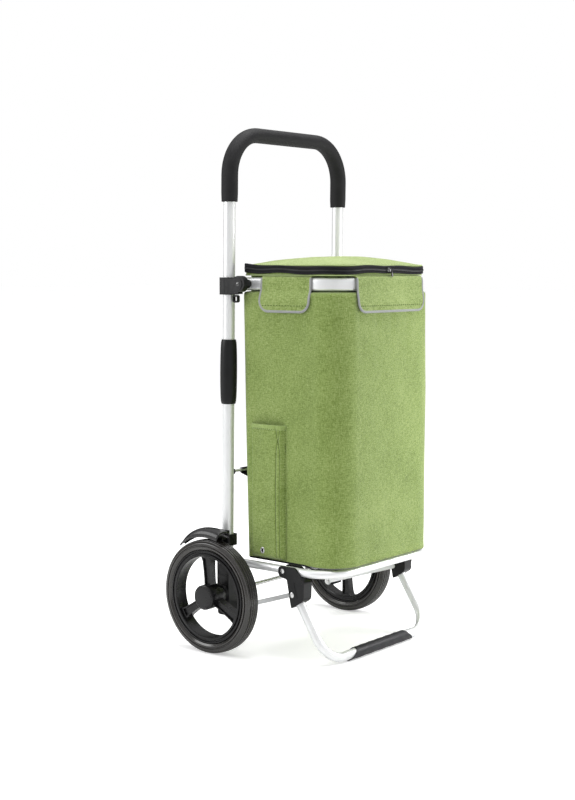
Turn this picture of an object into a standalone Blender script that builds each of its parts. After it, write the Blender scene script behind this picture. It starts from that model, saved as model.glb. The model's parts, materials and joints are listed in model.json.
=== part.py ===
"""Two-wheeled folding shopping trolley: aluminium tube frame, fabric bag, spoked wheels, front stand.

Metres, +Z up. The origin is on the ground midway between the wheels, below the axle.
+X is the right-hand side seen from the front, and the front of the trolley faces -Y.
"""
import math

import bmesh
import bpy
from mathutils import Matrix, Vector

# ---- driving dimensions -------------------------------------------------------------------------
AXLE_Y = 0.0804              # the axle's place behind the middle of the footprint
GAP = 0.0004                 # clearance between neighbouring pieces
ROUND = 12                   # facets round a tube
WHEEL_STEPS = 32             # facets round a wheel

POST_X = 0.1717              # centre planes of the two uprights
POST_R = 0.0115
POST_WALL = 0.0015
POST_LEAN = 0.0125           # forward lean of the uprights, metres per metre of height
POST_FOOT_Z = 0.122          # lower end of an upright, inside its axle block
POST_JOINT_Z = 0.5475        # where the uprights meet the handle tube
HANDLE_Z = 1.0055            # centre line of the handle's cross stretch
HANDLE_BEND_R = 0.080
GRIP_DEEP = 0.035            # the grip is oval: front to back, and in the handle's own plane
GRIP_FLAT = 0.029
GRIP_LOW_Z = 0.875
SLEEVE_LOW_Z = 0.485
SLEEVE_HIGH_Z = 0.610

WHEEL_R = 0.1115
WHEEL_X = 0.2200             # centre planes of the wheels
WHEEL_WIDTH = 0.033
TYRE_INNER_R = 0.0920
RIM_INNER_R = 0.0795
HUB_R = 0.021
HUB_OUTER = 0.0195           # hub's outer face from the wheel's centre plane
HUB_INNER = 0.0215           # hub's inner face from the wheel's centre plane
SPOKES = 3
AXLE_R = 0.004
BUSH_R = 0.0075

BLOCK_HALF_X = 0.014
BLOCK_LOW_Z = 0.067
BLOCK_HIGH_Z = 0.190

BASE_X = 0.168               # centre planes of the base tube's arms and of the stand's legs
BASE_Z = 0.174
BASE_R = 0.008
BASE_FRONT_Y = -0.2535
BASE_BEND_R = 0.060
PIVOT_A = Vector((0, -0.034, BASE_Z))      # base tube on the axle blocks
PIVOT_B = Vector((0, -0.148, BASE_Z))      # stand on the base tube
PIVOT_C = Vector((0, -0.171, 0.131))       # side links on the stand
PIVOT_D_Y = -0.001                         # side links on the axle blocks

LEG_R = 0.009
LEG_TOP_LIFT = 0.008         # a leg's upper end above pivot C, along the leg
FOOT_Y = -0.247
FOOT_Z = 0.012
FOOT_BEND_R = 0.048
FOOT_SLEEVE_R = 0.013
LINK_X = 0.1530
LINK_HIGH = 0.009
LINK_THICK = 0.003

PIVOT_T = Vector((0, -0.043, 0.7177))      # top bar on the top brackets
TOP_Z = 0.7177
TOP_HIGH = 0.025
TOP_THICK = 0.015
TOP_HALF_X = 0.1553          # outer half-width of the top bar
TOP_FRONT_Y = -0.2655        # outer face of its front stretch
TOP_CORNER_R = 0.066         # outer corner radius
BRACKET_LOW_Z = 0.697
BRACKET_HIGH_Z = 0.730

BAG_HALF_X = 0.1615
BAG_FRONT_Y = -0.269
BAG_REAR_Y = -0.040          # the back leans towards the uprights from here
BAG_REAR_TOP_Y = -0.028
BAG_CORNER_R = 0.058
BAG_LOW_Z = 0.1865
BAG_SHOULDER_Z = 0.700
BAG_WALL = 0.003
NECK_INSET = 0.0240          # how far the bag draws in to pass inside the top bar
RIM_HALF_X = 0.1520
RIM_FRONT_Y = -0.2590
RIM_REAR_Y = -0.0275
RIM_CORNER_R = 0.050
RIM_LOW_Z = 0.7346
RIM_TOP_Z = 0.7440
TAPE_THICK = 0.0024
LID_LOW_Z = 0.7446
LID_SKIRT_Z = 0.7530
LID_TOP_Z = 0.7710

FLAP_THICK = 0.0025
FLAP_LOW_Z = 0.664
FLAP_SIDE_REAR_Y = -0.078
FLAP_SIDE_FRONT_Y = -0.197
FLAP_FRONT_HALF_X = 0.107
FLAP_CORNER_R = 0.020

POCKET_FRONT_Y = -0.142
POCKET_REAR_Y = -0.058
POCKET_LOW_Z = 0.190
POCKET_HIGH_Z = 0.450
POCKET_DEEP = 0.010

FENDER_INNER_X = 0.2015

CROSS_ROD_Z = 0.350
CROSS_ROD_R = 0.003
COLLAR_R = 0.0150            # outside of the plastic collars round the uprights

SIDES = {"left": -1, "right": 1}
POST_PLANE = (0, 1, POST_LEAN)


# ---- scene, materials and placing -----------------------------------------------------------------
def clear_scene():
    for obj in list(bpy.data.objects):
        bpy.data.objects.remove(obj, do_unlink=True)


def make_material(name, color, roughness, metallic=0.0):
    mat = bpy.data.materials.new(name)
    mat.use_nodes = True
    shader = mat.node_tree.nodes["Principled BSDF"]
    shader.inputs["Base Color"].default_value = (*color, 1.0)
    shader.inputs["Roughness"].default_value = roughness
    shader.inputs["Metallic"].default_value = metallic
    return mat


def make_body(name, axis_point):
    """An empty on a joint's axis, which carries the pieces of one moving body."""
    empty = bpy.data.objects.new(name, None)
    empty.empty_display_size = 0.03
    empty.location = axis_point
    bpy.context.collection.objects.link(empty)
    return empty


def add_part(name, bm, mat, body=None, origin=None):
    """Turns a mesh drawn in world coordinates into an object with its origin where it is wanted."""
    base = body.location.copy() if body else Vector((0, 0, 0))
    origin = base.copy() if origin is None else Vector(origin)
    bmesh.ops.translate(bm, verts=bm.verts, vec=-origin)
    mesh = bpy.data.meshes.new(name)
    bm.to_mesh(mesh)
    bm.free()
    mesh.materials.append(mat)
    mesh.shade_smooth()
    mesh.set_sharp_from_angle(angle=math.radians(32))
    obj = bpy.data.objects.new(name, mesh)
    bpy.context.collection.objects.link(obj)
    obj.parent = body
    obj.location = origin - base
    return obj


def add_cutter(name, bm):
    """A hidden helper shape for a Boolean modifier."""
    mesh = bpy.data.meshes.new(name)
    bm.to_mesh(mesh)
    bm.free()
    obj = bpy.data.objects.new(name, mesh)
    bpy.context.collection.objects.link(obj)
    obj.hide_render = True
    obj.display_type = "WIRE"
    return obj


def boolean(obj, helper, operation="DIFFERENCE"):
    mod = obj.modifiers.new(helper.name, "BOOLEAN")
    mod.operation = operation
    mod.object = helper
    mod.solver = "EXACT"


# ---- outlines, paths and solids -------------------------------------------------------------------
def circle(radius, steps):
    turns = [2 * math.pi * i / steps for i in range(steps)]
    return [(radius * math.cos(t), radius * math.sin(t)) for t in turns]


def rounded_outline(corners, radii, steps):
    """A closed flat outline through the corners, each rounded with its own radius."""
    points = []
    count = len(corners)
    for i in range(count):
        here = Vector(corners[i])
        back = (Vector(corners[i - 1]) - here).normalized()
        ahead = (Vector(corners[(i + 1) % count]) - here).normalized()
        radius = radii[i]
        if radius <= 0:
            points.append(tuple(here))
            continue
        half = back.angle(ahead) / 2
        start = here + back * (radius / math.tan(half))
        centre = here + (back + ahead).normalized() * (radius / math.sin(half))
        turn = (math.pi - 2 * half) * (1 if back.x * ahead.y - back.y * ahead.x < 0 else -1)
        for k in range(steps + 1):
            spun = Matrix.Rotation(turn * k / steps, 2) @ (start - centre)
            points.append(tuple(centre + spun))
    return points


def rounded_box(half_x, low_y, high_y, front_r, rear_r, steps):
    corners = [(-half_x, low_y), (half_x, low_y), (half_x, high_y), (-half_x, high_y)]
    return rounded_outline(corners, [front_r, front_r, rear_r, rear_r], steps)


def rounded_path(corners, radius, steps):
    """An open path in space through the corners, with its inner corners rounded."""
    points = [Vector(corners[0])]
    for before, corner, after in zip(corners, corners[1:], corners[2:]):
        corner = Vector(corner)
        back = (Vector(before) - corner).normalized()
        ahead = (Vector(after) - corner).normalized()
        half = back.angle(ahead) / 2
        centre = corner + (back + ahead).normalized() * (radius / math.sin(half))
        spoke = corner + back * (radius / math.tan(half)) - centre
        axis = back.cross(ahead).normalized()
        for k in range(steps + 1):
            turn = Matrix.Rotation(-(math.pi - 2 * half) * k / steps, 3, axis)
            points.append(centre + turn @ spoke)
    points.append(Vector(corners[-1]))
    return points


def loft(rings, closed=False):
    """Skins neighbouring rings of points. An open loft is capped, a closed one joins its ends."""
    bm = bmesh.new()
    rows = [[bm.verts.new(p) for p in ring] for ring in rings]
    pairs = list(zip(rows, rows[1:]))
    if closed:
        pairs.append((rows[-1], rows[0]))
    for one, two in pairs:
        count = len(one)
        for i in range(count):
            j = (i + 1) % count
            bm.faces.new((one[i], one[j], two[j], two[i]))
    if not closed:
        bm.faces.new(rows[0])
        bm.faces.new(rows[-1])
    bmesh.ops.recalc_face_normals(bm, faces=bm.faces)
    return bm


def section_rings(path, normal, outline):
    """Copies of a flat section along a flat path. The section's first axis is the path plane's normal."""
    normal = Vector(normal).normalized()
    rings = []
    for i, point in enumerate(path):
        ahead = path[min(i + 1, len(path) - 1)] - path[max(i - 1, 0)]
        side = normal.cross(ahead.normalized())
        rings.append([point + normal * a + side * b for a, b in outline])
    return rings


def sweep(path, normal, outline, hole=None):
    """A bar or tube along a flat path. A hole outline makes it hollow, with open ends."""
    outer = section_rings(path, normal, outline)
    if hole is None:
        return loft(outer)
    inner = section_rings(path, normal, hole)
    return loft(outer + inner[::-1], closed=True)


def round_tube(path, normal, radius, bore, steps):
    hole = circle(bore, steps) if bore else None
    return sweep(path, normal, circle(radius, steps), hole)


def axis_frame(direction):
    """A rotation that carries +Z to the given direction."""
    return Vector((0, 0, 1)).rotation_difference(Vector(direction)).to_matrix()


def lathe(profile, centre, direction, steps, closed=False):
    """Turns (radius, height) points about an axis. A closed profile makes a ring."""
    turn = axis_frame(direction)
    rings = []
    for radius, height in profile:
        flat = circle(radius, steps)
        rings.append([Vector(centre) + turn @ Vector((x, y, height)) for x, y in flat])
    return loft(rings, closed)


def rod(start, end, radius, steps=10):
    length = (Vector(end) - Vector(start)).length
    profile = [(radius, 0), (radius, length)]
    return lathe(profile, start, Vector(end) - Vector(start), steps)


def plate_x(outline_yz, x_from, x_to):
    """A flat plate with its outline in Y and Z and its thickness along X."""
    return loft([[Vector((x, y, z)) for y, z in outline_yz] for x in (x_from, x_to)])


def plate_z(outline_xy, z_from, z_to):
    return loft([[Vector((x, y, z)) for x, y in outline_xy] for z in (z_from, z_to)])


def at_x(point, x):
    return Vector((x, point.y, point.z))


def on_post(sign, z):
    """The point on an upright's centre line at a height."""
    return Vector((sign * POST_X, -POST_LEAN * (z - WHEEL_R), z))


def post_bore(sign, low_z, high_z):
    """A cutter that leaves room for the upright."""
    return rod(on_post(sign, low_z), on_post(sign, high_z), POST_R + 2 * GAP, ROUND)


# ---- uprights and handle --------------------------------------------------------------------------
def build_uprights(metal):
    for side, sign in SIDES.items():
        path = [on_post(sign, POST_FOOT_Z), on_post(sign, POST_JOINT_Z - GAP)]
        bm = round_tube(path, POST_PLANE, POST_R, POST_R - POST_WALL, ROUND)
        add_part("upright_" + side, bm, metal, origin=path[0])


def handle_path(low_z):
    corners = [on_post(-1, low_z), on_post(-1, HANDLE_Z), on_post(1, HANDLE_Z), on_post(1, low_z)]
    return rounded_path(corners, HANDLE_BEND_R, 5)


def build_handle(metal, foam, steel):
    tube = round_tube(handle_path(POST_JOINT_Z), POST_PLANE, POST_R, POST_R - POST_WALL, ROUND)
    add_part("handle_tube", tube, metal, origin=(0, 0, POST_JOINT_Z))
    oval = [(a * GRIP_DEEP / 2, b * GRIP_FLAT / 2) for a, b in circle(1.0, ROUND)]
    grip = sweep(handle_path(GRIP_LOW_Z), POST_PLANE, oval, circle(POST_R + GAP, ROUND))
    add_part("handle_grip", grip, foam, origin=(0, 0, GRIP_LOW_Z))
    spigot_r = POST_R - POST_WALL - GAP
    for side, sign in SIDES.items():
        spigot = [on_post(sign, POST_JOINT_Z - 0.05), on_post(sign, POST_JOINT_Z + 0.05)]
        bm = round_tube(spigot, POST_PLANE, spigot_r, spigot_r - 0.0015, ROUND)
        add_part("handle_spigot_" + side, bm, steel, origin=spigot[0])


def build_joint_sleeves(plastic):
    length = SLEEVE_HIGH_Z - SLEEVE_LOW_Z
    bore = POST_R + 2 * GAP
    profile = [
        (bore, 0), (0.0140, 0), (0.0152, 0.004), (0.0166, 0.030),
        (0.0166, length - 0.030), (0.0152, length - 0.004), (0.0140, length), (bore, length),
    ]
    for side, sign in SIDES.items():
        foot = on_post(sign, SLEEVE_LOW_Z)
        bm = lathe(profile, foot, (0, -POST_LEAN, 1), ROUND, closed=True)
        add_part("joint_sleeve_" + side, bm, plastic, origin=foot)


def build_cross_rod(steel):
    reach = POST_X - POST_R - GAP
    middle = on_post(0, CROSS_ROD_Z)
    bm = rod(at_x(middle, -reach), at_x(middle, reach), CROSS_ROD_R)
    add_part("cross_rod", bm, steel, origin=middle)


# ---- top bar and its brackets ---------------------------------------------------------------------
def build_top_brackets(plastic, steel):
    """A collar on the upright, an ear on its outer side and a boss that spaces the top bar off it."""
    middle_z = (BRACKET_LOW_Z + BRACKET_HIGH_Z) / 2
    ear_r = (BRACKET_HIGH_Z - BRACKET_LOW_Z) / 2
    front_y = PIVOT_T.y - ear_r * 0.85
    post_y = on_post(0, middle_z).y
    corners = [(post_y, BRACKET_LOW_Z), (front_y, BRACKET_LOW_Z), (front_y, BRACKET_HIGH_Z), (post_y, BRACKET_HIGH_Z)]
    outline = rounded_outline(corners, [0, ear_r * 0.98, ear_r * 0.98, 0], 5)
    for side, sign in SIDES.items():
        collar = lathe([(COLLAR_R, 0), (COLLAR_R, BRACKET_HIGH_Z - BRACKET_LOW_Z)],
                       on_post(sign, BRACKET_LOW_Z), (0, 0, 1), 16)
        bracket = add_part("top_bracket_" + side, collar, plastic, origin=on_post(sign, BRACKET_LOW_Z))
        ear = plate_x(outline, sign * 0.1720, sign * 0.1862)
        boolean(bracket, add_cutter("bracket_ear_" + side, ear), "UNION")
        boss = rod(at_x(PIVOT_T, sign * (TOP_HALF_X + 0.0006)), at_x(PIVOT_T, sign * 0.1730), 0.0080, 14)
        boolean(bracket, add_cutter("bracket_boss_" + side, boss), "UNION")
        boolean(bracket, add_cutter("post_bore_" + side, post_bore(sign, 0.68, 0.75)))
        drill = rod(at_x(PIVOT_T, sign * 0.13), at_x(PIVOT_T, sign * 0.20), 0.0044)
        boolean(bracket, add_cutter("top_pivot_drill_" + side, drill))
        profile = [(0.0065, 0), (0.0065, 0.0016), (0.004, 0.0018), (0.004, 0.0480),
                   (0.0062, 0.0482), (0.0062, 0.0498)]
        rivet = lathe(profile, at_x(PIVOT_T, sign * 0.1883), (-sign, 0, 0), 12)
        add_part("top_pivot_rivet_" + side, rivet, steel, origin=at_x(PIVOT_T, sign * POST_X))


def build_lock_loops(plastic):
    """Small wire-like loop under each top bracket, in front of the upright."""
    for side, sign in SIDES.items():
        x = sign * 0.1765
        high = BRACKET_LOW_Z - GAP
        outer = [(-0.0225, high), (-0.0225, high - 0.015), (-0.0370, high - 0.015), (-0.0370, high)]
        inner = [(-0.0260, high - 0.003), (-0.0260, high - 0.0115),
                 (-0.0335, high - 0.0115), (-0.0335, high - 0.003)]
        rings = []
        for outline, at in ((outer, x - 0.004), (outer, x + 0.004), (inner, x + 0.004), (inner, x - 0.004)):
            rings.append([Vector((at, y, z)) for y, z in outline])
        add_part("lock_loop_" + side, loft(rings, closed=True), plastic, origin=(x, -0.03, high))


def top_bar_path():
    centre_x = TOP_HALF_X - TOP_THICK / 2
    front_y = TOP_FRONT_Y + TOP_THICK / 2
    rear_y = PIVOT_T.y + 0.010
    corners = [(-centre_x, rear_y, TOP_Z), (-centre_x, front_y, TOP_Z),
               (centre_x, front_y, TOP_Z), (centre_x, rear_y, TOP_Z)]
    return rounded_path(corners, TOP_CORNER_R - TOP_THICK / 2, 5)


def flat_oval(high, thick, round_r, steps=1):
    corners = [(-high / 2, -thick / 2), (high / 2, -thick / 2), (high / 2, thick / 2), (-high / 2, thick / 2)]
    return rounded_outline(corners, [round_r] * 4, steps)


def build_top_bar(metal, body):
    outline = flat_oval(TOP_HIGH, TOP_THICK, 0.006)
    hole = flat_oval(TOP_HIGH - 0.0028, TOP_THICK - 0.0028, 0.0046)
    bar = add_part("top_bar", sweep(top_bar_path(), (0, 0, 1), outline, hole), metal, body)
    drill = rod(at_x(PIVOT_T, -0.18), at_x(PIVOT_T, 0.18), 0.0044)
    boolean(bar, add_cutter("top_bar_drill", drill))


# ---- axle blocks, axle and mudguards --------------------------------------------------------------
def link_pivot():
    """Pivot D is as far from pivot C with the trolley open as with it folded."""
    shift = PIVOT_A.y - PIVOT_B.y
    middle_y = PIVOT_C.y + shift / 2
    middle_z = PIVOT_C.z + shift / 2
    return Vector((0, PIVOT_D_Y, middle_z - (PIVOT_D_Y - middle_y)))


def build_axle_blocks(plastic, steel):
    pivot_d = link_pivot()
    body_corners = [(0.013, BLOCK_LOW_Z), (-0.012, BLOCK_LOW_Z), (-0.0155, 0.095),
                    (-0.0155, BLOCK_HIGH_Z), (0.0145, BLOCK_HIGH_Z), (0.0145, 0.095)]
    outline = rounded_outline(body_corners, [0.006, 0.006, 0.010, 0.002, 0.002, 0.010], 3)
    lug_corners = [(0.010, BASE_Z - 0.009), (PIVOT_A.y - 0.009, BASE_Z - 0.009),
                   (PIVOT_A.y - 0.009, BASE_Z + 0.009), (0.010, BASE_Z + 0.009)]
    lug = rounded_outline(lug_corners, [0, 0.0088, 0.0088, 0], 4)
    inner_x = POST_X - BLOCK_HALF_X
    for side, sign in SIDES.items():
        foot = Vector((sign * POST_X, 0, BLOCK_LOW_Z))
        block = plate_x(outline, sign * inner_x, sign * (POST_X + BLOCK_HALF_X))
        part = add_part("axle_block_" + side, block, plastic, origin=foot)
        ear = plate_x(lug, sign * (BASE_X + BASE_R + 0.0006), sign * (POST_X + BLOCK_HALF_X))
        boolean(part, add_cutter("pivot_lug_" + side, ear), "UNION")
        boolean(part, add_cutter("post_socket_" + side, post_bore(sign, POST_FOOT_Z - GAP, 0.25)))
        axle_hole = rod((sign * 0.14, 0, WHEEL_R), (sign * 0.20, 0, WHEEL_R), AXLE_R + GAP)
        boolean(part, add_cutter("axle_hole_" + side, axle_hole))
        pin_hole = rod(at_x(PIVOT_A, sign * 0.14), at_x(PIVOT_A, sign * 0.20), 0.0034)
        boolean(part, add_cutter("base_pin_hole_" + side, pin_hole))
        stud_hole = rod(at_x(pivot_d, sign * 0.14), at_x(pivot_d, sign * 0.166), 0.0034)
        boolean(part, add_cutter("link_pin_hole_" + side, stud_hole))
        add_part("base_pivot_pin_" + side, pivot_pin(PIVOT_A, sign, 0.1560, 0.1872), steel,
                 origin=at_x(PIVOT_A, sign * BASE_X))
        add_part("link_pivot_pin_" + side, pivot_pin(pivot_d, sign, 0.1495, 0.1650, blind=True), steel,
                 origin=at_x(pivot_d, sign * LINK_X))


def pivot_pin(point, sign, x_inner, x_outer, blind=False):
    """A round pin along X with a head on its inner end, and on its outer end unless that is blind."""
    length = x_outer - x_inner
    profile = [(0.0055, 0), (0.0055, 0.0010), (0.0030, 0.0011)]
    profile += [(0.0030, length)] if blind else [
        (0.0030, length - 0.0011), (0.0052, length - 0.0010), (0.0052, length)]
    return lathe(profile, at_x(point, sign * x_inner), (sign, 0, 0), 12)


def build_axle(steel, plastic):
    end_x = WHEEL_X + HUB_OUTER
    axle = rod((-end_x, 0, WHEEL_R), (end_x, 0, WHEEL_R), AXLE_R, 16)
    add_part("axle", axle, steel, origin=(0, 0, WHEEL_R))
    clip = [(AXLE_R + 0.0002, 0), (0.0072, 0), (0.0072, 0.0012), (AXLE_R + 0.0002, 0.0012)]
    for side, sign in SIDES.items():
        centre = Vector((sign * (WHEEL_X + HUB_OUTER - 0.0034), 0, WHEEL_R))
        add_part("axle_clip_" + side, lathe(clip, centre, (sign, 0, 0), 16, closed=True), steel,
                 origin=centre)


def fender_radius(turn):
    """Distance of the mudguard from the axle: it comes closer to the tyre towards its tip."""
    return 0.1360 - 0.0155 * turn / math.radians(42)


def build_fenders(plastic):
    turns = [math.radians(-9 + 48 * i / 8) for i in range(9)]
    across = 4
    thick = 0.0022
    for side, sign in SIDES.items():
        rings = []
        for turn in turns:
            outer, inner = [], []
            for k in range(across + 1):
                part = k / across
                x = FENDER_INNER_X + 0.0370 * part
                crown = 0.0045 * math.sin(math.pi * part) - 0.0050 * part
                radius = fender_radius(max(turn, 0)) + crown
                for row, r in ((outer, radius), (inner, radius - thick)):
                    row.append(Vector((sign * x, r * math.sin(turn), WHEEL_R + r * math.cos(turn))))
            rings.append(outer + inner[::-1])
        bm = loft(rings)
        origin = Vector((sign * WHEEL_X, 0, WHEEL_R + 0.12))
        add_part("fender_" + side, bm, plastic, origin=origin)


def build_fender_clamps(plastic):
    """A collar on the upright with an arm out to the mudguard."""
    low, high = 0.2055, 0.2275
    arm = rounded_outline([(0.010, 0.2185), (-0.012, 0.2185), (-0.012, 0.2370), (0.010, 0.2370)],
                          [0.003] * 4, 2)
    for side, sign in SIDES.items():
        collar = lathe([(COLLAR_R, 0), (COLLAR_R, high - low)], on_post(sign, low), (0, 0, 1), 16)
        clamp = add_part("fender_clamp_" + side, collar, plastic, origin=on_post(sign, low))
        link = plate_x(arm, sign * 0.1840, sign * (FENDER_INNER_X - 0.0006))
        boolean(clamp, add_cutter("fender_arm_" + side, link), "UNION")
        boolean(clamp, add_cutter("clamp_bore_" + side, post_bore(sign, 0.19, 0.25)))


# ---- base tube, stand and side links --------------------------------------------------------------
def build_base(metal, steel, body):
    rear_y = PIVOT_A.y + 0.010
    corners = [(-BASE_X, rear_y, BASE_Z), (-BASE_X, BASE_FRONT_Y, BASE_Z),
               (BASE_X, BASE_FRONT_Y, BASE_Z), (BASE_X, rear_y, BASE_Z)]
    path = rounded_path(corners, BASE_BEND_R, 5)
    tube = add_part("base_tube", round_tube(path, (0, 0, 1), BASE_R, BASE_R - 0.0014, ROUND), metal, body)
    for name, point in (("base_pin", PIVOT_A), ("stand_rivet", PIVOT_B)):
        drill = rod(at_x(point, -0.19), at_x(point, 0.19), 0.0034)
        boolean(tube, add_cutter(name + "_drill", drill))
    for side, sign in SIDES.items():
        rivet = pivot_pin(PIVOT_B, sign, 0.1536, 0.1822)
        add_part("stand_pivot_rivet_" + side, rivet, steel, body, at_x(PIVOT_B, sign * BASE_X))


def leg_direction():
    foot = Vector((0, FOOT_Y, FOOT_Z))
    return (PIVOT_C - foot).normalized()


def build_stand(metal, plastic, steel, body):
    up = leg_direction()
    foot = Vector((0, FOOT_Y, FOOT_Z))
    top = PIVOT_C + up * LEG_TOP_LIFT
    corners = [at_x(top, -BASE_X), at_x(foot, -BASE_X), at_x(foot, BASE_X), at_x(top, BASE_X)]
    path = rounded_path(corners, FOOT_BEND_R, 5)
    plane = up.cross(Vector((1, 0, 0)))
    tube = add_part("stand_tube", round_tube(path, plane, LEG_R, LEG_R - 0.0014, ROUND), metal, body)
    drill = rod(at_x(PIVOT_C, -0.19), at_x(PIVOT_C, 0.19), 0.0034)
    boolean(tube, add_cutter("leg_drill", drill))
    build_stand_brackets(plastic, steel, body, up)
    build_foot_sleeve(plastic, body)


def build_stand_brackets(plastic, steel, body, up):
    """Fork round the base tube, with a socket below it that takes the leg."""
    b = PIVOT_B
    across = Vector((0, -up.z, up.y)) * -1
    low = PIVOT_C - up * 0.0215
    rear_low = low + across * 0.0160
    front_low = low - across * 0.0190
    corners = [
        (b.y + 0.0105, b.z + 0.0095), (b.y + 0.0105, b.z - 0.0105), (b.y - 0.0100, b.z - 0.0150),
        (rear_low.y, rear_low.z), (front_low.y, front_low.z),
        (b.y - 0.0520, b.z - 0.0165), (b.y - 0.0300, b.z + 0.0095),
    ]
    radii = [0.0080, 0.0080, 0.0020, 0.0020, 0.0120, 0.0060, 0.0100]
    outline = rounded_outline(corners, radii, 3)
    slot_corners = [(b.y + 0.03, b.z + 0.03), (b.y + 0.03, b.z - 0.075), (b.y - 0.0086, b.z - 0.075),
                    (b.y - 0.0086, b.z - 0.0086), (b.y - 0.09, b.z - 0.0086), (b.y - 0.09, b.z + 0.03)]
    for side, sign in SIDES.items():
        x = sign * BASE_X
        bm = plate_x(outline, x - 0.0124, x + 0.0124)
        bracket = add_part("stand_bracket_" + side, bm, plastic, body, at_x(b, x))
        slot = plate_x(slot_corners, x - 0.0086, x + 0.0086)
        boolean(bracket, add_cutter("tube_slot_" + side, slot))
        bore = rod(at_x(PIVOT_C - up * 0.06, x), at_x(PIVOT_C + up * (LEG_TOP_LIFT + GAP), x), LEG_R + 2 * GAP, ROUND)
        boolean(bracket, add_cutter("leg_socket_" + side, bore))
        holes = (("stand_pivot_hole_", b), ("link_rivet_hole_", PIVOT_C))
        for name, point in holes:
            drill = rod(at_x(point, sign * 0.14), at_x(point, sign * 0.19), 0.0034)
            boolean(bracket, add_cutter(name + side, drill))
        rivet = lathe([(0.0052, 0), (0.0052, 0.0012), (0.0030, 0.0014), (0.0030, 0.0262)],
                      at_x(PIVOT_C, sign * 0.1821), (-sign, 0, 0), 12)
        add_part("link_rivet_" + side, rivet, steel, body, at_x(PIVOT_C, x))


def build_foot_sleeve(plastic, body):
    """A cover over the front and underside of the cross bar, flat where it stands on the ground."""
    bore = LEG_R + GAP
    outer, inner = [], []
    steps = 14
    for i in range(steps + 1):
        turn = math.radians(-58 + 296 * i / steps)
        y = -math.sin(turn)
        z = -math.cos(turn)
        outer.append((FOOT_SLEEVE_R * y, max(FOOT_SLEEVE_R * z, -FOOT_Z)))
        inner.append((bore * y, bore * z))
    section = [(FOOT_Y - y, FOOT_Z + z) for y, z in outer + inner[::-1]]
    rings = []
    for end in (-1, 1):
        ring = []
        for y, z in section:
            reach = 0.1080 - 0.0280 * z / (2 * FOOT_Z)
            ring.append(Vector((end * reach, y, z)))
        rings.append(ring)
    add_part("foot_sleeve", loft(rings), plastic, body, (0, FOOT_Y, FOOT_Z))


def link_outline(start, end, half, eye_r):
    """A flat bar with a round eye at its start and a round end, as points in Y and Z."""
    along = (end - start).normalized()
    across = Vector((0, -along.z, along.y))
    shoulder = math.asin(half / eye_r)
    arcs = ((start, eye_r, shoulder, 2 * math.pi - shoulder, 12), (end, half, -math.pi / 2, math.pi / 2, 6))
    points = []
    for centre, radius, first, last, steps in arcs:
        for k in range(steps + 1):
            turn = first + (last - first) * k / steps
            p = centre + (along * math.cos(turn) + across * math.sin(turn)) * radius
            points.append((p.y, p.z))
    return points


def build_links(metal, bodies):
    pivot_d = link_pivot()
    outline = link_outline(pivot_d, PIVOT_C, LINK_HIGH / 2, 0.0075)
    for side, sign in SIDES.items():
        x = sign * LINK_X
        bm = plate_x(outline, x - LINK_THICK / 2, x + LINK_THICK / 2)
        link = add_part("link_" + side, bm, metal, bodies[side], at_x(pivot_d, x))
        drill = rod(at_x(pivot_d, sign * 0.14), at_x(pivot_d, sign * 0.17), 0.0034)
        boolean(link, add_cutter("link_drill_" + side, drill))


# ---- wheels ---------------------------------------------------------------------------------------
def tyre_profile():
    """Crowned tread and bulged side walls."""
    half = WHEEL_WIDTH / 2
    return [
        (TYRE_INNER_R, -half + 0.0035), (0.0985, -half), (0.1055, -half + 0.0008),
        (WHEEL_R - 0.0014, -half + 0.0050), (WHEEL_R, 0), (WHEEL_R - 0.0014, half - 0.0050),
        (0.1055, half - 0.0008), (0.0985, half), (TYRE_INNER_R, half - 0.0035),
    ]


def rim_profile():
    outer = TYRE_INNER_R - GAP
    return [(outer, -0.0128), (outer, 0.0128), (RIM_INNER_R + 0.0015, 0.0140), (RIM_INNER_R, 0.0125),
            (RIM_INNER_R, -0.0125), (RIM_INNER_R + 0.0015, -0.0140)]


def spoke(sign, centre, turn):
    """A box spoke from the hub to the rim, wider at the rim."""
    out = Vector((0, math.sin(turn), math.cos(turn)))
    wide = Vector((0, math.cos(turn), -math.sin(turn)))
    rings = []
    for reach, half, deep in ((0.012, 0.0085, 0.0110), (0.0735, 0.0100, 0.0095), (0.0830, 0.0120, 0.0095)):
        ring = []
        for a, b in ((-1, -1), (1, -1), (1, 1), (-1, 1)):
            ring.append(centre + out * reach + wide * (a * half) + Vector((sign * b * deep, 0, 0)))
        rings.append(ring)
    return loft(rings)


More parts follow.
